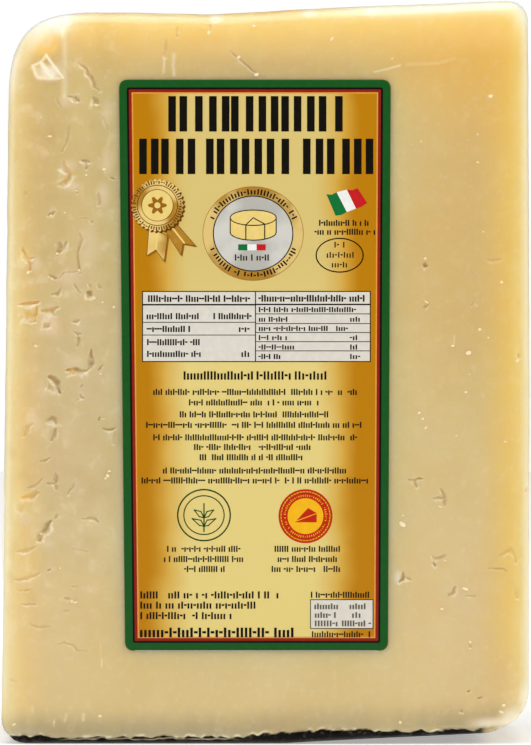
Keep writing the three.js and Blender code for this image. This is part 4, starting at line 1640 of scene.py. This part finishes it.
@dataclass
class Glints:
    """Small glossy beads on the film, whose pale colour paints glints of light, given as x, z and half
    size.
    """

    spots: tuple[Triple, ...] = (
        (-37.9, 126.1, 0.3), (-36.9, 125.9, 0.34), (-33.1, 125.4, 0.3), (-42.3, 119.3, 0.34),
        (-44.0, 123.0, 0.18), (-35.1, 111.7, 0.2), (-39.5, 112.1, 0.2), (-31.6, 112.8, 0.26),
        (-31.4, 112.2, 0.2), (-37.0, 108.6, 0.22), (-46.5, 92.6, 0.36), (-42.1, 103.8, 0.24),
        (-39.3, 104.3, 0.18), (-40.8, 96.3, 0.28), (-36.5, 93.0, 0.22), (-41.8, 91.4, 0.26),
        (-34.8, 90.1, 0.2), (-33.5, 87.5, 0.24), (-35.1, 87.5, 0.2), (-31.9, 86.7, 0.24),
        (-29.7, 85.8, 0.3), (-45.0, 78.2, 0.3), (-45.5, 82.6, 0.2), (-43.0, 69.8, 0.24),
        (-32.3, 72.7, 0.26), (-31.6, 63.9, 0.22), (-41.6, 50.8, 0.24), (-30.9, 52.7, 0.34),
        (-31.3, 52.2, 0.26), (-30.6, 53.6, 0.2), (-43.5, 39.8, 0.28), (-44.0, 41.3, 0.2),
        (-40.2, 34.6, 0.34), (-37.9, 28.1, 0.36), (-37.2, 27.9, 0.34), (-32.4, 5.6, 0.34),
        (-49.3, 3.9, 0.34), (-41.4, 4.3, 0.2), (-11.1, 139.6, 0.42), (-2.2, 141.0, 0.3),
        (13.1, 138.4, 0.34), (-5.2, 134.8, 0.28), (-1.7, 131.4, 0.34), (24.9, 134.5, 0.24),
        (31.4, 95.3, 0.28), (44.2, 127.2, 0.34), (41.7, 119.7, 0.34), (41.7, 114.2, 0.26),
        (30.6, 118.3, 0.22), (42.8, 100.6, 0.22), (46.4, 90.7, 0.34), (31.6, 86.8, 0.34),
        (42.1, 81.4, 0.36), (43.8, 79.8, 0.28), (36.8, 78.2, 0.36), (39.9, 76.8, 0.42),
        (40.1, 72.6, 0.2), (39.4, 69.1, 0.26), (49.5, 75.3, 0.3), (30.2, 65.0, 0.3),
        (30.9, 63.9, 0.26), (31.5, 62.1, 0.3), (37.5, 60.6, 0.24), (47.1, 59.4, 0.26),
        (34.4, 46.6, 0.3), (26.9, 43.2, 0.5), (27.0, 44.9, 0.24), (35.3, 36.1, 0.34),
        (39.3, 30.5, 0.48), (34.7, 26.6, 0.36), (40.2, 20.1, 0.26), (40.2, 18.8, 0.26),
        (46.8, 7.6, 0.34), (46.3, 6.3, 0.4), (26.5, 4.3, 0.34),
    )

    def build(self, chunk: Chunk) -> Piece:
        """Sets the beads on the front of the chunk.

        Args:
            chunk: gives the depth of the face at each spot.

        Returns:
            The plain mesh object.
        """
        x, z, size = np.array(self.spots).T
        y = chunk.front_y + chunk.face_fall(x, z) - 0.02
        mesh = bpy.data.meshes.new("film_beads")
        mesh.from_pydata((np.stack([x, y, z], 1) * MM).tolist(), [], [])
        sizes = mesh.attributes.new("size", "FLOAT", "POINT").data
        sizes.foreach_set("value", (size * MM).astype(np.float32))
        piece = placed("film_beads", mesh)
        run_tree(piece, BeadTree().tree, Seed=4, Finish=GlintBeadFinish().material())
        shade_smooth(piece)
        return dress(piece, "cheese_paste", "cheese")


# ---- The label ----


def oval(centre: Point, across: float, up: float, count: int = 64) -> list[Point]:
    """An oval outline from its centre and half sizes."""
    turns = [2 * math.pi * i / count for i in range(count)]
    return [(centre[0] + across * math.cos(t), centre[1] + up * math.sin(t)) for t in turns]


def scalloped(centre: Point, radius: float, teeth: int, height: float) -> list[Point]:
    """A round outline with a wavy rim.

    Args:
        centre: its middle.
        radius: its reach to the tips of the teeth.
        teeth: how many it has.
        height: how far they stand out.

    Returns:
        The outline's points.
    """
    made = []
    count = 6 * teeth
    for i in range(count):
        turn = 2 * math.pi * i / count
        reach = radius - height * (0.5 - 0.5 * math.cos(teeth * turn))
        made.append((centre[0] + reach * math.cos(turn), centre[1] + reach * math.sin(turn)))
    return made


def rounded(corners: list[Point], radius: float, steps: int = 6) -> list[Point]:
    """An outline with its corners rounded.

    Args:
        corners: the corners in order.
        radius: how far the rounding runs along each edge.
        steps: how many stretches make one corner.

    Returns:
        The outline's points.
    """
    made = []
    for i, corner in enumerate(corners):
        here = Vector(corner)
        before = (Vector(corners[i - 1]) - here).normalized()
        after = (Vector(corners[(i + 1) % len(corners)]) - here).normalized()
        for step in range(steps + 1):
            share = step / steps
            start, end = here + radius * before, here + radius * after
            spot = start * (1 - share) ** 2 + 2 * here * share * (1 - share) + end * share ** 2
            made.append((spot.x, spot.y))
    return made


def box_outline(left: float, top: float, right: float, bottom: float) -> list[Point]:
    """An upright rectangle's corners."""
    return [(left, top), (right, top), (right, bottom), (left, bottom)]


@dataclass
class PrintStack:
    """Flat printed shapes as thin closed plates, each level a hair in front of the last.

    Shapes are given across from the label's upper left corner and down from it.
    """

    left: float
    top: float
    paper_y: float
    level_step: float = 0.012
    overlap: float = 0.004
    vertices: list = field(default_factory=list)
    faces: list = field(default_factory=list)
    inks: list = field(default_factory=list)

    def level_y(self, level: int) -> float:
        """The depth of a level's face."""
        return self.paper_y - self.level_step * level

    def loop(self, outline: list[Point], y: float) -> list[int]:
        """Adds an outline's points at a depth.

        Args:
            outline: the points.
            y: the depth.

        Returns:
            Their numbers.
        """
        start = len(self.vertices)
        self.vertices += [(self.left + u, y, self.top - v) for u, v in outline]
        return list(range(start, start + len(outline)))

    def plate(self, outline: list[Point], ink: Enum, level: int, back: float | None = None) -> None:
        """Adds one closed flat shape.

        Args:
            outline: its points in order.
            ink: its colour.
            level: how many levels it stands in front of the paper.
            back: the depth of its hidden face, by default just behind the level below.
        """
        area = sum(a[0] * b[1] - b[0] * a[1] for a, b in zip(outline, outline[1:] + outline[:1]))
        points = outline if area < 0 else outline[::-1]
        front = self.loop(points, self.level_y(level))
        rear = self.loop(points, self.level_y(level - 1) + self.overlap if back is None else back)
        self.faces += [front, rear[::-1]]
        count = len(points)
        for i in range(count):
            after = (i + 1) % count
            self.faces.append((rear[i], rear[after], front[after], front[i]))
        self.inks += [ink] * (count + 2)

    def line(self, points: list[Point], width: float, ink: Enum, level: int, closed: bool = False) -> None:
        """Adds a drawn line as one plate per stretch.

        Args:
            points: its points in order.
            width: its thickness.
            ink: its colour.
            level: its level.
            closed: whether it runs back to its start.
        """
        ends = points[1:] + points[:1] if closed else points[1:]
        for start, end in zip(points, ends):
            a, b = Vector(start), Vector(end)
            along = (b - a).normalized() * width / 2
            aside = Vector((-along.y, along.x))
            corners = [a - along + aside, b + along + aside, b + along - aside, a - along - aside]
            self.plate([(c.x, c.y) for c in corners], ink, level)

    def build(self, name: str) -> Piece:
        """Makes the object, with one material for each ink.

        Args:
            name: the piece's name.

        Returns:
            The object.
        """
        used = list(dict.fromkeys(self.inks))
        materials = [ink_material(ink) for ink in used]
        slots = [used.index(ink) for ink in self.inks]
        return mesh_object(name, np.array(self.vertices), self.faces, materials, slots)


class MarkTree(GrowingTree):
    """Geometry nodes that set small upright marks along rows, in uneven groups."""

    SHAPES = ((1.0, 1.0, 0.0), (1.0, 0.76, 0.0), (1.0, 0.76, 0.0), (1.0, 1.0, 0.0), (1.5, 0.24, 0.4))

    def __init__(self) -> None:
        """Builds the tree: rows to curves, evenly spaced points, picked marks, one mesh."""
        sizes = ("Pitch", "Stroke", "Height", "Thickness", "Gap Share")
        inputs = {**dict.fromkeys(sizes, "Float"), "Seed": "Int", "Finish": "Material"}
        super().__init__("marks_along_rows", inputs)
        given = self.given
        curve = self.node("GeometryNodeMeshToCurve", {0: given["Geometry"]})
        feeds = {"Curve": curve.outputs[0], "Length": given["Pitch"]}
        spaced = self.node("GeometryNodeResampleCurve", feeds, mode="LENGTH")
        join = self.node("GeometryNodeJoinGeometry")
        for across, up, lift in self.SHAPES:
            self.feed(join.inputs[0], self.shape(across, up, lift))
        feeds = {"Vector": self.node("GeometryNodeInputTangent").outputs[0]}
        turn = self.node("FunctionNodeAlignRotationToVector", feeds, axis="X", pivot_axis="Y")
        feeds = {"X": given["Stroke"], "Y": given["Thickness"], "Z": given["Height"]}
        size = self.node("ShaderNodeCombineXYZ", feeds)
        feeds = {0: self.random("FLOAT", 0.0, 1.0, 1), 1: given["Gap Share"]}
        kept = self.node("FunctionNodeCompare", feeds, data_type="FLOAT", operation="GREATER_THAN")
        marks = self.node("GeometryNodeInstanceOnPoints", {
            "Points": spaced.outputs[0],
            "Selection": kept.outputs[0],
            "Instance": join.outputs[0],
            "Pick Instance": True,
            "Instance Index": self.random("INT", 0, len(self.SHAPES) - 1, 7),
            "Rotation": turn.outputs[0],
            "Scale": size.outputs[0],
        })
        self.finish(marks.outputs[0])

    def shape(self, across: float, up: float, lift: float) -> Socket:
        """One mark shape as an instance, in shares of the stroke and the row's height.

        Args:
            across: its width.
            up: its height.
            lift: how high its foot stands.

        Returns:
            The instance output.
        """
        cube = self.node("GeometryNodeMeshCube", {"Size": (across, 1, up)})
        feeds = {"Geometry": cube.outputs["Mesh"], "Translation": (0, 0, lift + up / 2)}
        move = self.node("GeometryNodeTransform", feeds)
        return self.node("GeometryNodeGeometryToInstance", {0: move.outputs["Geometry"]}).outputs[0]


INK_MATERIALS: dict[Enum, Material] = {}


def ink_material(ink: Enum) -> Material:
    """The material of an ink, built once.

    Args:
        ink: an ink or a broad ground.

    Returns:
        The material.
    """
    if ink not in INK_MATERIALS:
        finish = GROUND_FINISHES[ink] if isinstance(ink, Ground) else PrintFinish(ink)
        INK_MATERIALS[ink] = finish.material()
    return INK_MATERIALS[ink]


@dataclass
class MarkBlock:
    """Rows of small marks of one size and ink.

    A row is its left end, its right end and its foot. An arc is its middle, its half sizes, and
    the angles in degrees at which it starts and ends.
    """

    name: str
    height: float
    stroke: float
    pitch: float
    level: int
    seed: int
    gap_share: float
    rows: tuple[Triple, ...] = ()
    arcs: tuple[tuple[Point, float, float, float, float], ...] = ()
    ink: Ink = Ink.BROWN
    arc_points: int = 40
    stands_out: float = 1.3

    def build(self, stack: PrintStack, marks: MarkTree) -> Piece:
        """Sets the rows and arcs on the label.

        Args:
            stack: gives the label's place and its levels.
            marks: the tree that fills the rows.

        Returns:
            The plain mesh object.
        """
        paths = [[(start, foot), (end, foot)] for start, end, foot in self.rows]
        for (u, v), across, up, start, end in self.arcs:
            turns = np.radians(np.linspace(start, end, self.arc_points))
            paths.append([(u + across * math.cos(turn), v - up * math.sin(turn)) for turn in turns])
        y = stack.level_y(self.level) + stack.level_step / 2
        vertices, edges = [], []
        for path in paths:
            first = len(vertices)
            vertices += [(stack.left + u, y, stack.top - v) for u, v in path]
            edges += [(i, i + 1) for i in range(first, len(vertices) - 1)]
        mesh = bpy.data.meshes.new(self.name)
        mesh.from_pydata((np.array(vertices) * MM).tolist(), edges, [])
        piece = placed(self.name, mesh)
        run_tree(
            piece,
            marks.tree,
            Pitch=self.pitch * MM,
            Stroke=self.stroke * MM,
            Height=self.height * MM,
            Thickness=self.stands_out * stack.level_step * MM,
            Gap_Share=self.gap_share,
            Seed=self.seed,
            Finish=ink_material(self.ink),
        )
        return piece


@dataclass
class Label:
    """The printed label: nested borders, a gold ground, bars, seals, a table and rows of marks."""

    paper_edge: float = 0.08
    green_to: float = 1.55
    black_to: float = 1.95
    red_to: float = 2.5
    orange_to: float = 2.78
    corner: float = 1.8
    narrowing_left: float = 1.2
    narrowing_right: float = 0.55
    print_sink: float = 0.15
    title_top: float = 3.25
    title_height: float = 6.95
    second_top: float = 11.6
    bar: float = 1.5
    pair_needs: float = 2.3
    title_cells: tuple[Point, ...] = (
        (9.7, 13.4), (14.2, 17.2), (17.7, 21.7), (22.0, 26.4),
        (27.4, 31.3), (32.0, 33.2), (34.3, 38.4), (39.2, 43.9),
    )
    second_cells: tuple[Point, ...] = (
        (4.0, 7.8), (8.3, 12.7), (13.5, 18.6), (19.2, 23.3), (24.1, 28.1), (29.0, 33.4),
        (36.1, 40.1), (40.8, 45.3), (46.1, 49.9),
    )
    rosette_middle: Point = (7.57, 24.67)
    medallion_middle: Point = (26.33, 30.2)
    sprig_middle: Point = (16.7, 85.4)
    seal_middle: Point = (36.6, 85.6)

    def place(self) -> None:
        """Reads the label's box and sets out its four corners."""
        low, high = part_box("label")
        self.left, self.right = low.x / MM, high.x / MM
        self.top, self.bottom = high.z / MM, low.z / MM
        self.front_y = low.y / MM
        self.back_y = high.y / MM
        self.width, self.height = self.right - self.left, self.top - self.bottom

    def inset(self, by: float) -> list[Point]:
        """The label's four corners moved in.

        Args:
            by: how far.

        Returns:
            The corners.
        """
        low = self.height - by
        return [
            (by, by),
            (self.width - by, by),
            (self.width - self.narrowing_right - by, low),
            (self.narrowing_left + by, low),
        ]

    def borders(self, stack: PrintStack) -> None:
        """The paper and the nested coloured borders round the gold ground.

        Args:
            stack: the label's printed shapes.
        """
        paper = rounded(self.inset(0), self.corner)
        stack.plate(paper, Ink.EDGE, 0, self.back_y + 0.08)
        foot = self.height - 0.09
        ends = (self.narrowing_left + 2, self.width - self.narrowing_right - 2)
        stack.line([(end, foot) for end in ends], 0.14, Ink.PALE, 1)
        stack.plate(rounded(self.inset(self.paper_edge), self.corner), Ink.GREEN, 1)
        stack.plate(rounded(self.inset(self.green_to), 0.5), Ink.BLACK, 2)
        stack.plate(rounded(self.inset(self.black_to), 0.12), Ink.RED, 3)
        stack.plate(rounded(self.inset(self.red_to), 0.08), Ink.ORANGE, 4)
        stack.plate(rounded(self.inset(self.orange_to), 0.05), Ground.GOLD_FIELD, 5)

    def title(self, stack: PrintStack) -> None:
        """Two rows of heavy upright bars, a pair at the sides of each wide cell.

        Args:
            stack: the label's printed shapes.
        """
        for cells, top in ((self.title_cells, self.title_top), (self.second_cells, self.second_top)):
            foot = top + self.title_height
            for left, right in cells:
                starts = [left, right - self.bar]
                if right - left <= self.pair_needs * self.bar:
                    starts = [(left + right - self.bar) / 2]
                for start in starts:
                    stack.plate(box_outline(start, top, start + self.bar, foot), Ink.BROWN, 6)

    def rosette(self, stack: PrintStack) -> None:
        """A gold rosette with two ribbon tails.

        Args:
            stack: the label's printed shapes.
        """
        centre = self.rosette_middle
        left_tail = [(5.9, 29.2), (9.6, 30.6), (8.9, 35.7), (7.3, 33.4), (5.5, 34.5)]
        right_tail = [(9.0, 29.4), (11.6, 28.6), (15.1, 32.6), (12.6, 32.2), (12.2, 34.5)]
        for tail in (left_tail, right_tail):
            stack.plate([(u + 0.3, v + 0.3) for u, v in tail], Ink.AMBER, 6)
            stack.plate(tail, Ground.ROSETTE, 7)
            stack.line(tail, 0.09, Ink.UMBER, 8, True)
        stack.line([(7.6, 29.6), (7.3, 33.2)], 0.35, Ink.PALE_GOLD, 8)
        stack.line([(10.6, 29.2), (12.8, 32.0)], 0.35, Ink.PALE_GOLD, 8)
        stack.plate(scalloped((7.85, 24.95), 5.25, 34, 0.3), Ink.UMBER, 9)
        stack.plate(scalloped(centre, 5.2, 34, 0.35), Ground.ROSETTE, 10)
        for radius, width in ((3.95, 0.14), (3.1, 0.1)):
            stack.line(oval(centre, radius, radius, 40), width, Ink.UMBER, 11, True)
        stack.plate(oval(centre, 3.0, 3.0), Ink.PALE_GOLD, 11)
        stack.plate(scalloped(centre, 1.9, 6, 0.9), Ink.AMBER, 12)
        stack.plate(oval(centre, 0.6, 0.6, 24), Ink.PALE_GOLD, 13)

    def medallion(self, stack: PrintStack) -> None:
        """A gold ring round a silver disc with a cut wheel of cheese and three small bands of colour.

        Args:
            stack: the label's printed shapes.
        """
        centre = self.medallion_middle
        stack.plate(oval(centre, 9.9, 9.25), Ink.AMBER, 6)
        stack.plate(oval(centre, 9.8, 9.15), Ground.GOLD_RING, 7)
        stack.plate(oval(centre, 7.9, 7.45), Ink.BROWN, 8)
        stack.plate(oval(centre, 7.68, 7.23), Ground.SILVER_DISC, 9)
        middle, across, up, tall = (26.35, 27.1), 4.5, 1.5, 2.9
        rim = [(u, v + tall) for u, v in oval(middle, across, up, 24)[:13]]
        side = [(middle[0] + across, middle[1])] + rim + [(middle[0] - across, middle[1])]
        stack.plate(side, Ink.PALE_GOLD, 10)
        stack.line(side, 0.2, Ink.BROWN, 11)
        stack.plate(oval(middle, across + 0.1, up + 0.1), Ink.BROWN, 12)
        stack.plate(oval(middle, across - 0.1, up - 0.1), Ink.PALE_GOLD, 13)
        for cut_x, cut_y in ((24.9, 28.5), (28.6, 28.35)):
            stack.line([middle, (cut_x, cut_y), (cut_x, cut_y + tall)], 0.2, Ink.BROWN, 14)
        for start, ink in ((23.4, Ink.FLAG_GREEN), (25.2, Ink.FLAG_WHITE), (27.0, Ink.FLAG_RED)):
            stack.plate(box_outline(start, 32.3, start + 1.8, 33.5), ink, 10)

    def pennant(self, stack: PrintStack) -> None:
        """A waving flag of three bands and the outlined oval below it.

        Args:
            stack: the label's printed shapes.
        """
        top = [(40.7, 22.5), (41.7, 22.6), (42.7, 22.1), (44.7, 21.6), (45.8, 21.7), (46.8, 21.3)]
        bottom = [(42.5, 26.7), (43.6, 26.55), (44.7, 26.0), (46.5, 25.3), (47.5, 25.0), (48.7, 24.2)]
        bands = ((0, 2, Ink.FLAG_GREEN), (2, 3, Ink.FLAG_WHITE), (3, 5, Ink.FLAG_RED))
        for start, end, ink in bands:
            stack.plate(top[start:end + 1] + bottom[start:end + 1][::-1], ink, 6)
        stack.line(oval((43.3, 34.45), 4.6, 3.3, 56), 0.24, Ink.BROWN, 6, True)

    def table(self, stack: PrintStack) -> None:
        """The pale two-column panel with its rules, and the small panel at the foot.

        Args:
            stack: the label's printed shapes.
        """
        stack.plate(box_outline(4.55, 41.45, 49.4, 55.4), Ink.BROWN, 6)
        stack.plate(box_outline(4.75, 41.65, 49.2, 55.2), Ink.PANEL, 7)
        stack.line([(26.8, 41.6), (26.8, 55.2)], 0.2, Ink.BROWN, 8)
        for height, width in ((44.15, 0.3), (47.6, 0.15), (50.1, 0.15)):
            stack.line([(4.8, height), (26.7, height)], width, Ink.BROWN, 8)
        stack.line([(26.9, 44.1), (49.15, 44.1)], 0.28, Ink.BROWN, 8)
        for height in (45.95, 47.85, 49.6, 51.4, 53.2):
            stack.line([(26.9, height), (49.15, height)], 0.15, Ink.BROWN, 8)
        stack.plate(box_outline(37.5, 101.9, 49.9, 107.7), Ink.BROWN, 6)
        stack.plate(box_outline(37.66, 102.06, 49.74, 107.54), Ink.PANEL, 7)

    def emblems(self, stack: PrintStack) -> None:
        """A green ring with a leaf sprig, and a red ring round a yellow disc with a wedge.

        Args:
            stack: the label's printed shapes.
        """
        centre = self.sprig_middle
        stack.line(oval(centre, 5.15, 5.0, 56), 0.28, Ink.GREEN, 6, True)
        stack.line(oval(centre, 3.95, 3.8, 48), 0.22, Ink.GREEN, 6, True)
        stem = centre[0]
        stack.line([(stem, 88.6), (stem, 83.2)], 0.26, Ink.GREEN, 6)
        for side in (-1, 1):
            for foot, reach in ((87.6, 2.3), (85.9, 1.9)):
                leaf = [(0, 0), (0.9, -0.2), (reach, -1.5), (0.6, -1.2)]
                stack.line([(stem + side * u, foot + v) for u, v in leaf], 0.22, Ink.GREEN, 6, True)
        seal = self.seal_middle
        stack.plate(oval(seal, 5.3, 5.3), Ink.SEAL_RED, 6)
        stack.line(oval(seal, 4.8, 4.8, 48), 0.2, Ink.SEAL_YELLOW, 7, True)
        stack.plate(oval(seal, 3.5, 3.5), Ink.SEAL_YELLOW, 7)
        stack.plate([(34.5, 86.8), (38.8, 86.8), (38.8, 85.0), (37.1, 84.0)], Ink.SEAL_RED, 8)
        stack.line([(34.7, 86.6), (38.7, 85.1)], 0.16, Ink.SEAL_YELLOW, 9)

    def blocks(self) -> list[MarkBlock]:
        """Sets out the rows of small marks.

        Returns:
            The blocks, each of one size and ink.
        """
        heading = ((12.9, 26.1, 58.85), (27.2, 33.5, 58.85), (34.7, 40.5, 58.85))
        body = (
            (6.9, 46.5, 61.85), (13.9, 39.0, 63.9), (12.1, 40.9, 66.25), (5.5, 47.9, 68.3),
            (6.9, 46.5, 70.75), (14.9, 37.9, 72.65), (16.0, 36.8, 74.65), (8.8, 44.4, 77.25),
            (4.6, 48.7, 79.2),
        )
        notes = (
            (9.6, 24.1, 92.6), (9.0, 24.7, 94.6), (13.0, 20.6, 96.55), (30.2, 43.2, 92.6),
            (30.8, 42.6, 94.6), (30.1, 43.2, 96.55), (39.4, 48.8, 28.7), (38.1, 50.1, 30.45),
            (37.8, 49.4, 101.6), (38.0, 49.6, 109.35),
        )
        foot = ((4.4, 31.1, 101.75), (4.4, 26.6, 103.75), (4.4, 21.9, 105.8))
        table_heads = ((5.9, 25.5, 43.6), (27.6, 48.0, 43.55))
        table_rows = (
            (5.6, 15.5, 47.0), (18.7, 25.8, 47.0), (5.7, 13.8, 49.5), (23.7, 25.4, 49.5),
            (5.7, 16.2, 52.1), (5.7, 15.9, 54.4), (23.6, 25.4, 54.4),
        )
        table_small = (
            (27.6, 46.3, 45.6), (27.6, 32.9, 47.5), (45.5, 47.1, 47.5), (27.6, 44.7, 49.3),
            (27.6, 32.8, 51.1), (45.5, 47.1, 51.1), (27.6, 34.2, 52.95), (45.5, 47.1, 52.95),
            (27.6, 31.5, 54.8), (45.5, 47.1, 54.8),
        )
        seals = ((42.4, 44.1, 32.95), (40.9, 45.9, 34.95), (41.9, 44.6, 36.85))
        stamp = (
            (38.5, 42.8, 103.85), (45.4, 48.2, 103.85), (38.6, 42.9, 105.55), (45.9, 47.2, 105.55),
            (38.6, 42.7, 107.2), (43.9, 49.2, 107.2),
        )
        strong, band = ((4.4, 34.0, 109.35),), ((22.9, 29.8, 35.5),)
        ring = [(self.medallion_middle, 8.2, 7.65, *ends) for ends in ((158, 22), (338, 202))]
        rosette = [(self.rosette_middle, 4.2, 4.2, 175, -175)]
        seal = [(self.seal_middle, 3.85, 3.85, 175, -175)]
        return [
            MarkBlock("label_heading_marks", 1.65, 0.4, 0.66, 6, 3, 0.05, heading),
            MarkBlock("label_body_marks", 1.2, 0.3, 0.48, 6, 5, 0.12, body),
            MarkBlock("label_note_marks", 1.19, 0.29, 0.47, 6, 8, 0.12, notes),
            MarkBlock("label_foot_marks", 1.4, 0.36, 0.6, 6, 12, 0.1, foot),
            MarkBlock("label_strong_marks", 1.9, 0.5, 0.82, 6, 14, 0.06, strong),
            MarkBlock("label_table_heads", 1.3, 0.34, 0.52, 8, 17, 0.1, table_heads),
            MarkBlock("label_table_marks", 1.214, 0.32, 0.5, 8, 21, 0.1, table_rows),
            MarkBlock("label_table_small", 1.0, 0.3, 0.48, 8, 25, 0.1, table_small),
            MarkBlock("label_oval_marks", 1.117, 0.26, 0.5, 6, 27, 0.1, seals),
            MarkBlock("label_stamp_marks", 1.15, 0.34, 0.52, 8, 29, 0.06, stamp, (), Ink.GREY),
            MarkBlock("label_band_marks", 1.2, 0.28, 0.52, 10, 31, 0.1, band),
            MarkBlock("label_ring_marks", 1.1, 0.32, 0.6, 8, 33, 0.1, (), ring),
            MarkBlock("label_rosette_marks", 0.8, 0.24, 0.46, 11, 35, 0.03, (), rosette, Ink.UMBER),
            MarkBlock("label_seal_marks", 0.45, 0.16, 0.4, 8, 37, 0.1, (), seal, Ink.SEAL_YELLOW),
        ]

    def build(self) -> list[Piece]:
        """Builds and dresses the label's plates and marks.

        Returns:
            The finished pieces.
        """
        self.place()
        stack = PrintStack(self.left, self.top, self.front_y + self.print_sink)
        for part in (
            self.borders, self.title, self.rosette, self.medallion, self.pennant, self.table, self.emblems,
        ):
            part(stack)
        marks = MarkTree()
        pieces = [stack.build("label_print")] + [block.build(stack, marks) for block in self.blocks()]
        return [dress(piece, "label_print", "label") for piece in pieces]


# ---- Stage ----


@dataclass(frozen=True)
class SoftBox:
    """A soft studio light: a rectangle that looks at the chunk's middle, given in metres."""

    name: str
    place: tuple[float, float, float]
    size: Point
    watts: float
    colour: Colour = (1.0, 1.0, 1.0)


@dataclass
class Studio:
    """The floor, the lights and the camera. The lights, their aim and the end of sight are in metres."""

    pixels_per_mm: float = 5.1
    picture: tuple[int, int] = (531, 745)
    middle_pixel: Point = (265.5, 372.5)
    origin_pixel: Point = (265.2, 744.6)
    camera_gap: float = 1100.0
    sight_end: float = 20.0
    aim: Triple = (0, 0, 0.073)
    sensor: float = 36.0
    floor_reach: float = 3000.0
    glow: float = 0.12
    lights: tuple[SoftBox, ...] = (
        SoftBox("light_top", (0.0, -0.10, 0.75), (0.7, 0.5), 3.5),
        SoftBox("light_left", (-0.75, -0.05, 0.22), (0.35, 0.7), 0.9),
        SoftBox("light_right", (0.75, -0.05, 0.22), (0.35, 0.7), 0.8),
        SoftBox("light_front_left", (-0.75, -0.85, 0.65), (0.6, 0.6), 2.85),
        SoftBox("light_front_right", (0.75, -0.85, 0.65), (0.6, 0.6), 2.75),
    )

    def camera(self, front_y: float) -> None:
        """Looks straight at the front face, so that the photograph's scale holds on it.

        Args:
            front_y: the depth of the front face, in millimetres.
        """
        data = bpy.data.cameras.new("camera")
        data.sensor_fit = "VERTICAL"
        data.sensor_height = self.sensor
        data.lens = self.sensor * self.camera_gap / (self.picture[1] / self.pixels_per_mm)
        data.clip_end = self.sight_end
        made = placed("camera", data)
        x = (self.middle_pixel[0] - self.origin_pixel[0]) / self.pixels_per_mm
        z = (self.origin_pixel[1] - self.middle_pixel[1]) / self.pixels_per_mm
        made.location = (x * MM, (front_y - self.camera_gap) * MM, z * MM)
        made.rotation_euler = (math.pi / 2, 0, 0)
        bpy.context.scene.camera = made

    def floor(self) -> None:
        """A plain pale floor just under the base."""
        signs = ((-1, -1, 0), (1, -1, 0), (1, 1, 0), (-1, 1, 0))
        corners = self.floor_reach * np.array(signs, float)
        piece = mesh_object("floor", corners, [(0, 1, 2, 3)], [StageFinish().material()])

    def light(self) -> None:
        """Hangs the soft boxes, turned to the chunk's middle."""
        aim = Vector(self.aim)
        for box in self.lights:
            data = bpy.data.lights.new(box.name, "AREA")
            data.shape = "RECTANGLE"
            data.size, data.size_y = box.size
            data.energy = box.watts
            data.color = box.colour
            lamp = placed(box.name, data)
            lamp.location = box.place
            lamp.rotation_euler = (aim - Vector(box.place)).to_track_quat("-Z", "Y").to_euler()
        bpy.context.scene.view_settings.view_transform = "Standard"

    def surround(self) -> None:
        """Sets the pale surroundings: dim as a light, white as the background."""
        world = bpy.data.worlds.new("surroundings")
        world.use_nodes = True
        sky = Wiring(world.node_tree)
        glow = sky.tree.nodes["Background"]
        sky.feed(glow.inputs["Color"], (1.0, 1.0, 1.0))
        sky.feed(glow.inputs["Strength"], self.glow)
        shown = sky.node("ShaderNodeBackground", {"Color": (1.0, 1.0, 1.0), "Strength": 1.0})
        seen = sky.node("ShaderNodeLightPath").outputs["Is Camera Ray"]
        mix = sky.node("ShaderNodeMixShader", {"Fac": seen, 1: glow.outputs[0], 2: shown.outputs[0]})
        sky.feed(sky.tree.nodes["World Output"].inputs["Surface"], mix.outputs[0])
        bpy.context.scene.world = world

    def build(self, front_y: float) -> None:
        """Sets up the whole stage.

        Args:
            front_y: the depth of the front face, in millimetres.
        """
        self.floor()
        self.light()
        self.surround()
        self.camera(front_y)


def main() -> None:
    """Builds the chunk and its label on the stage."""
    logging.basicConfig(level=logging.INFO, format="%(message)s")
    chunk = Chunk()
    chunk.build()
    Glints().build(chunk)
    Label().build()
    Studio().build(chunk.front_y)


if __name__ == "__main__":
    main()
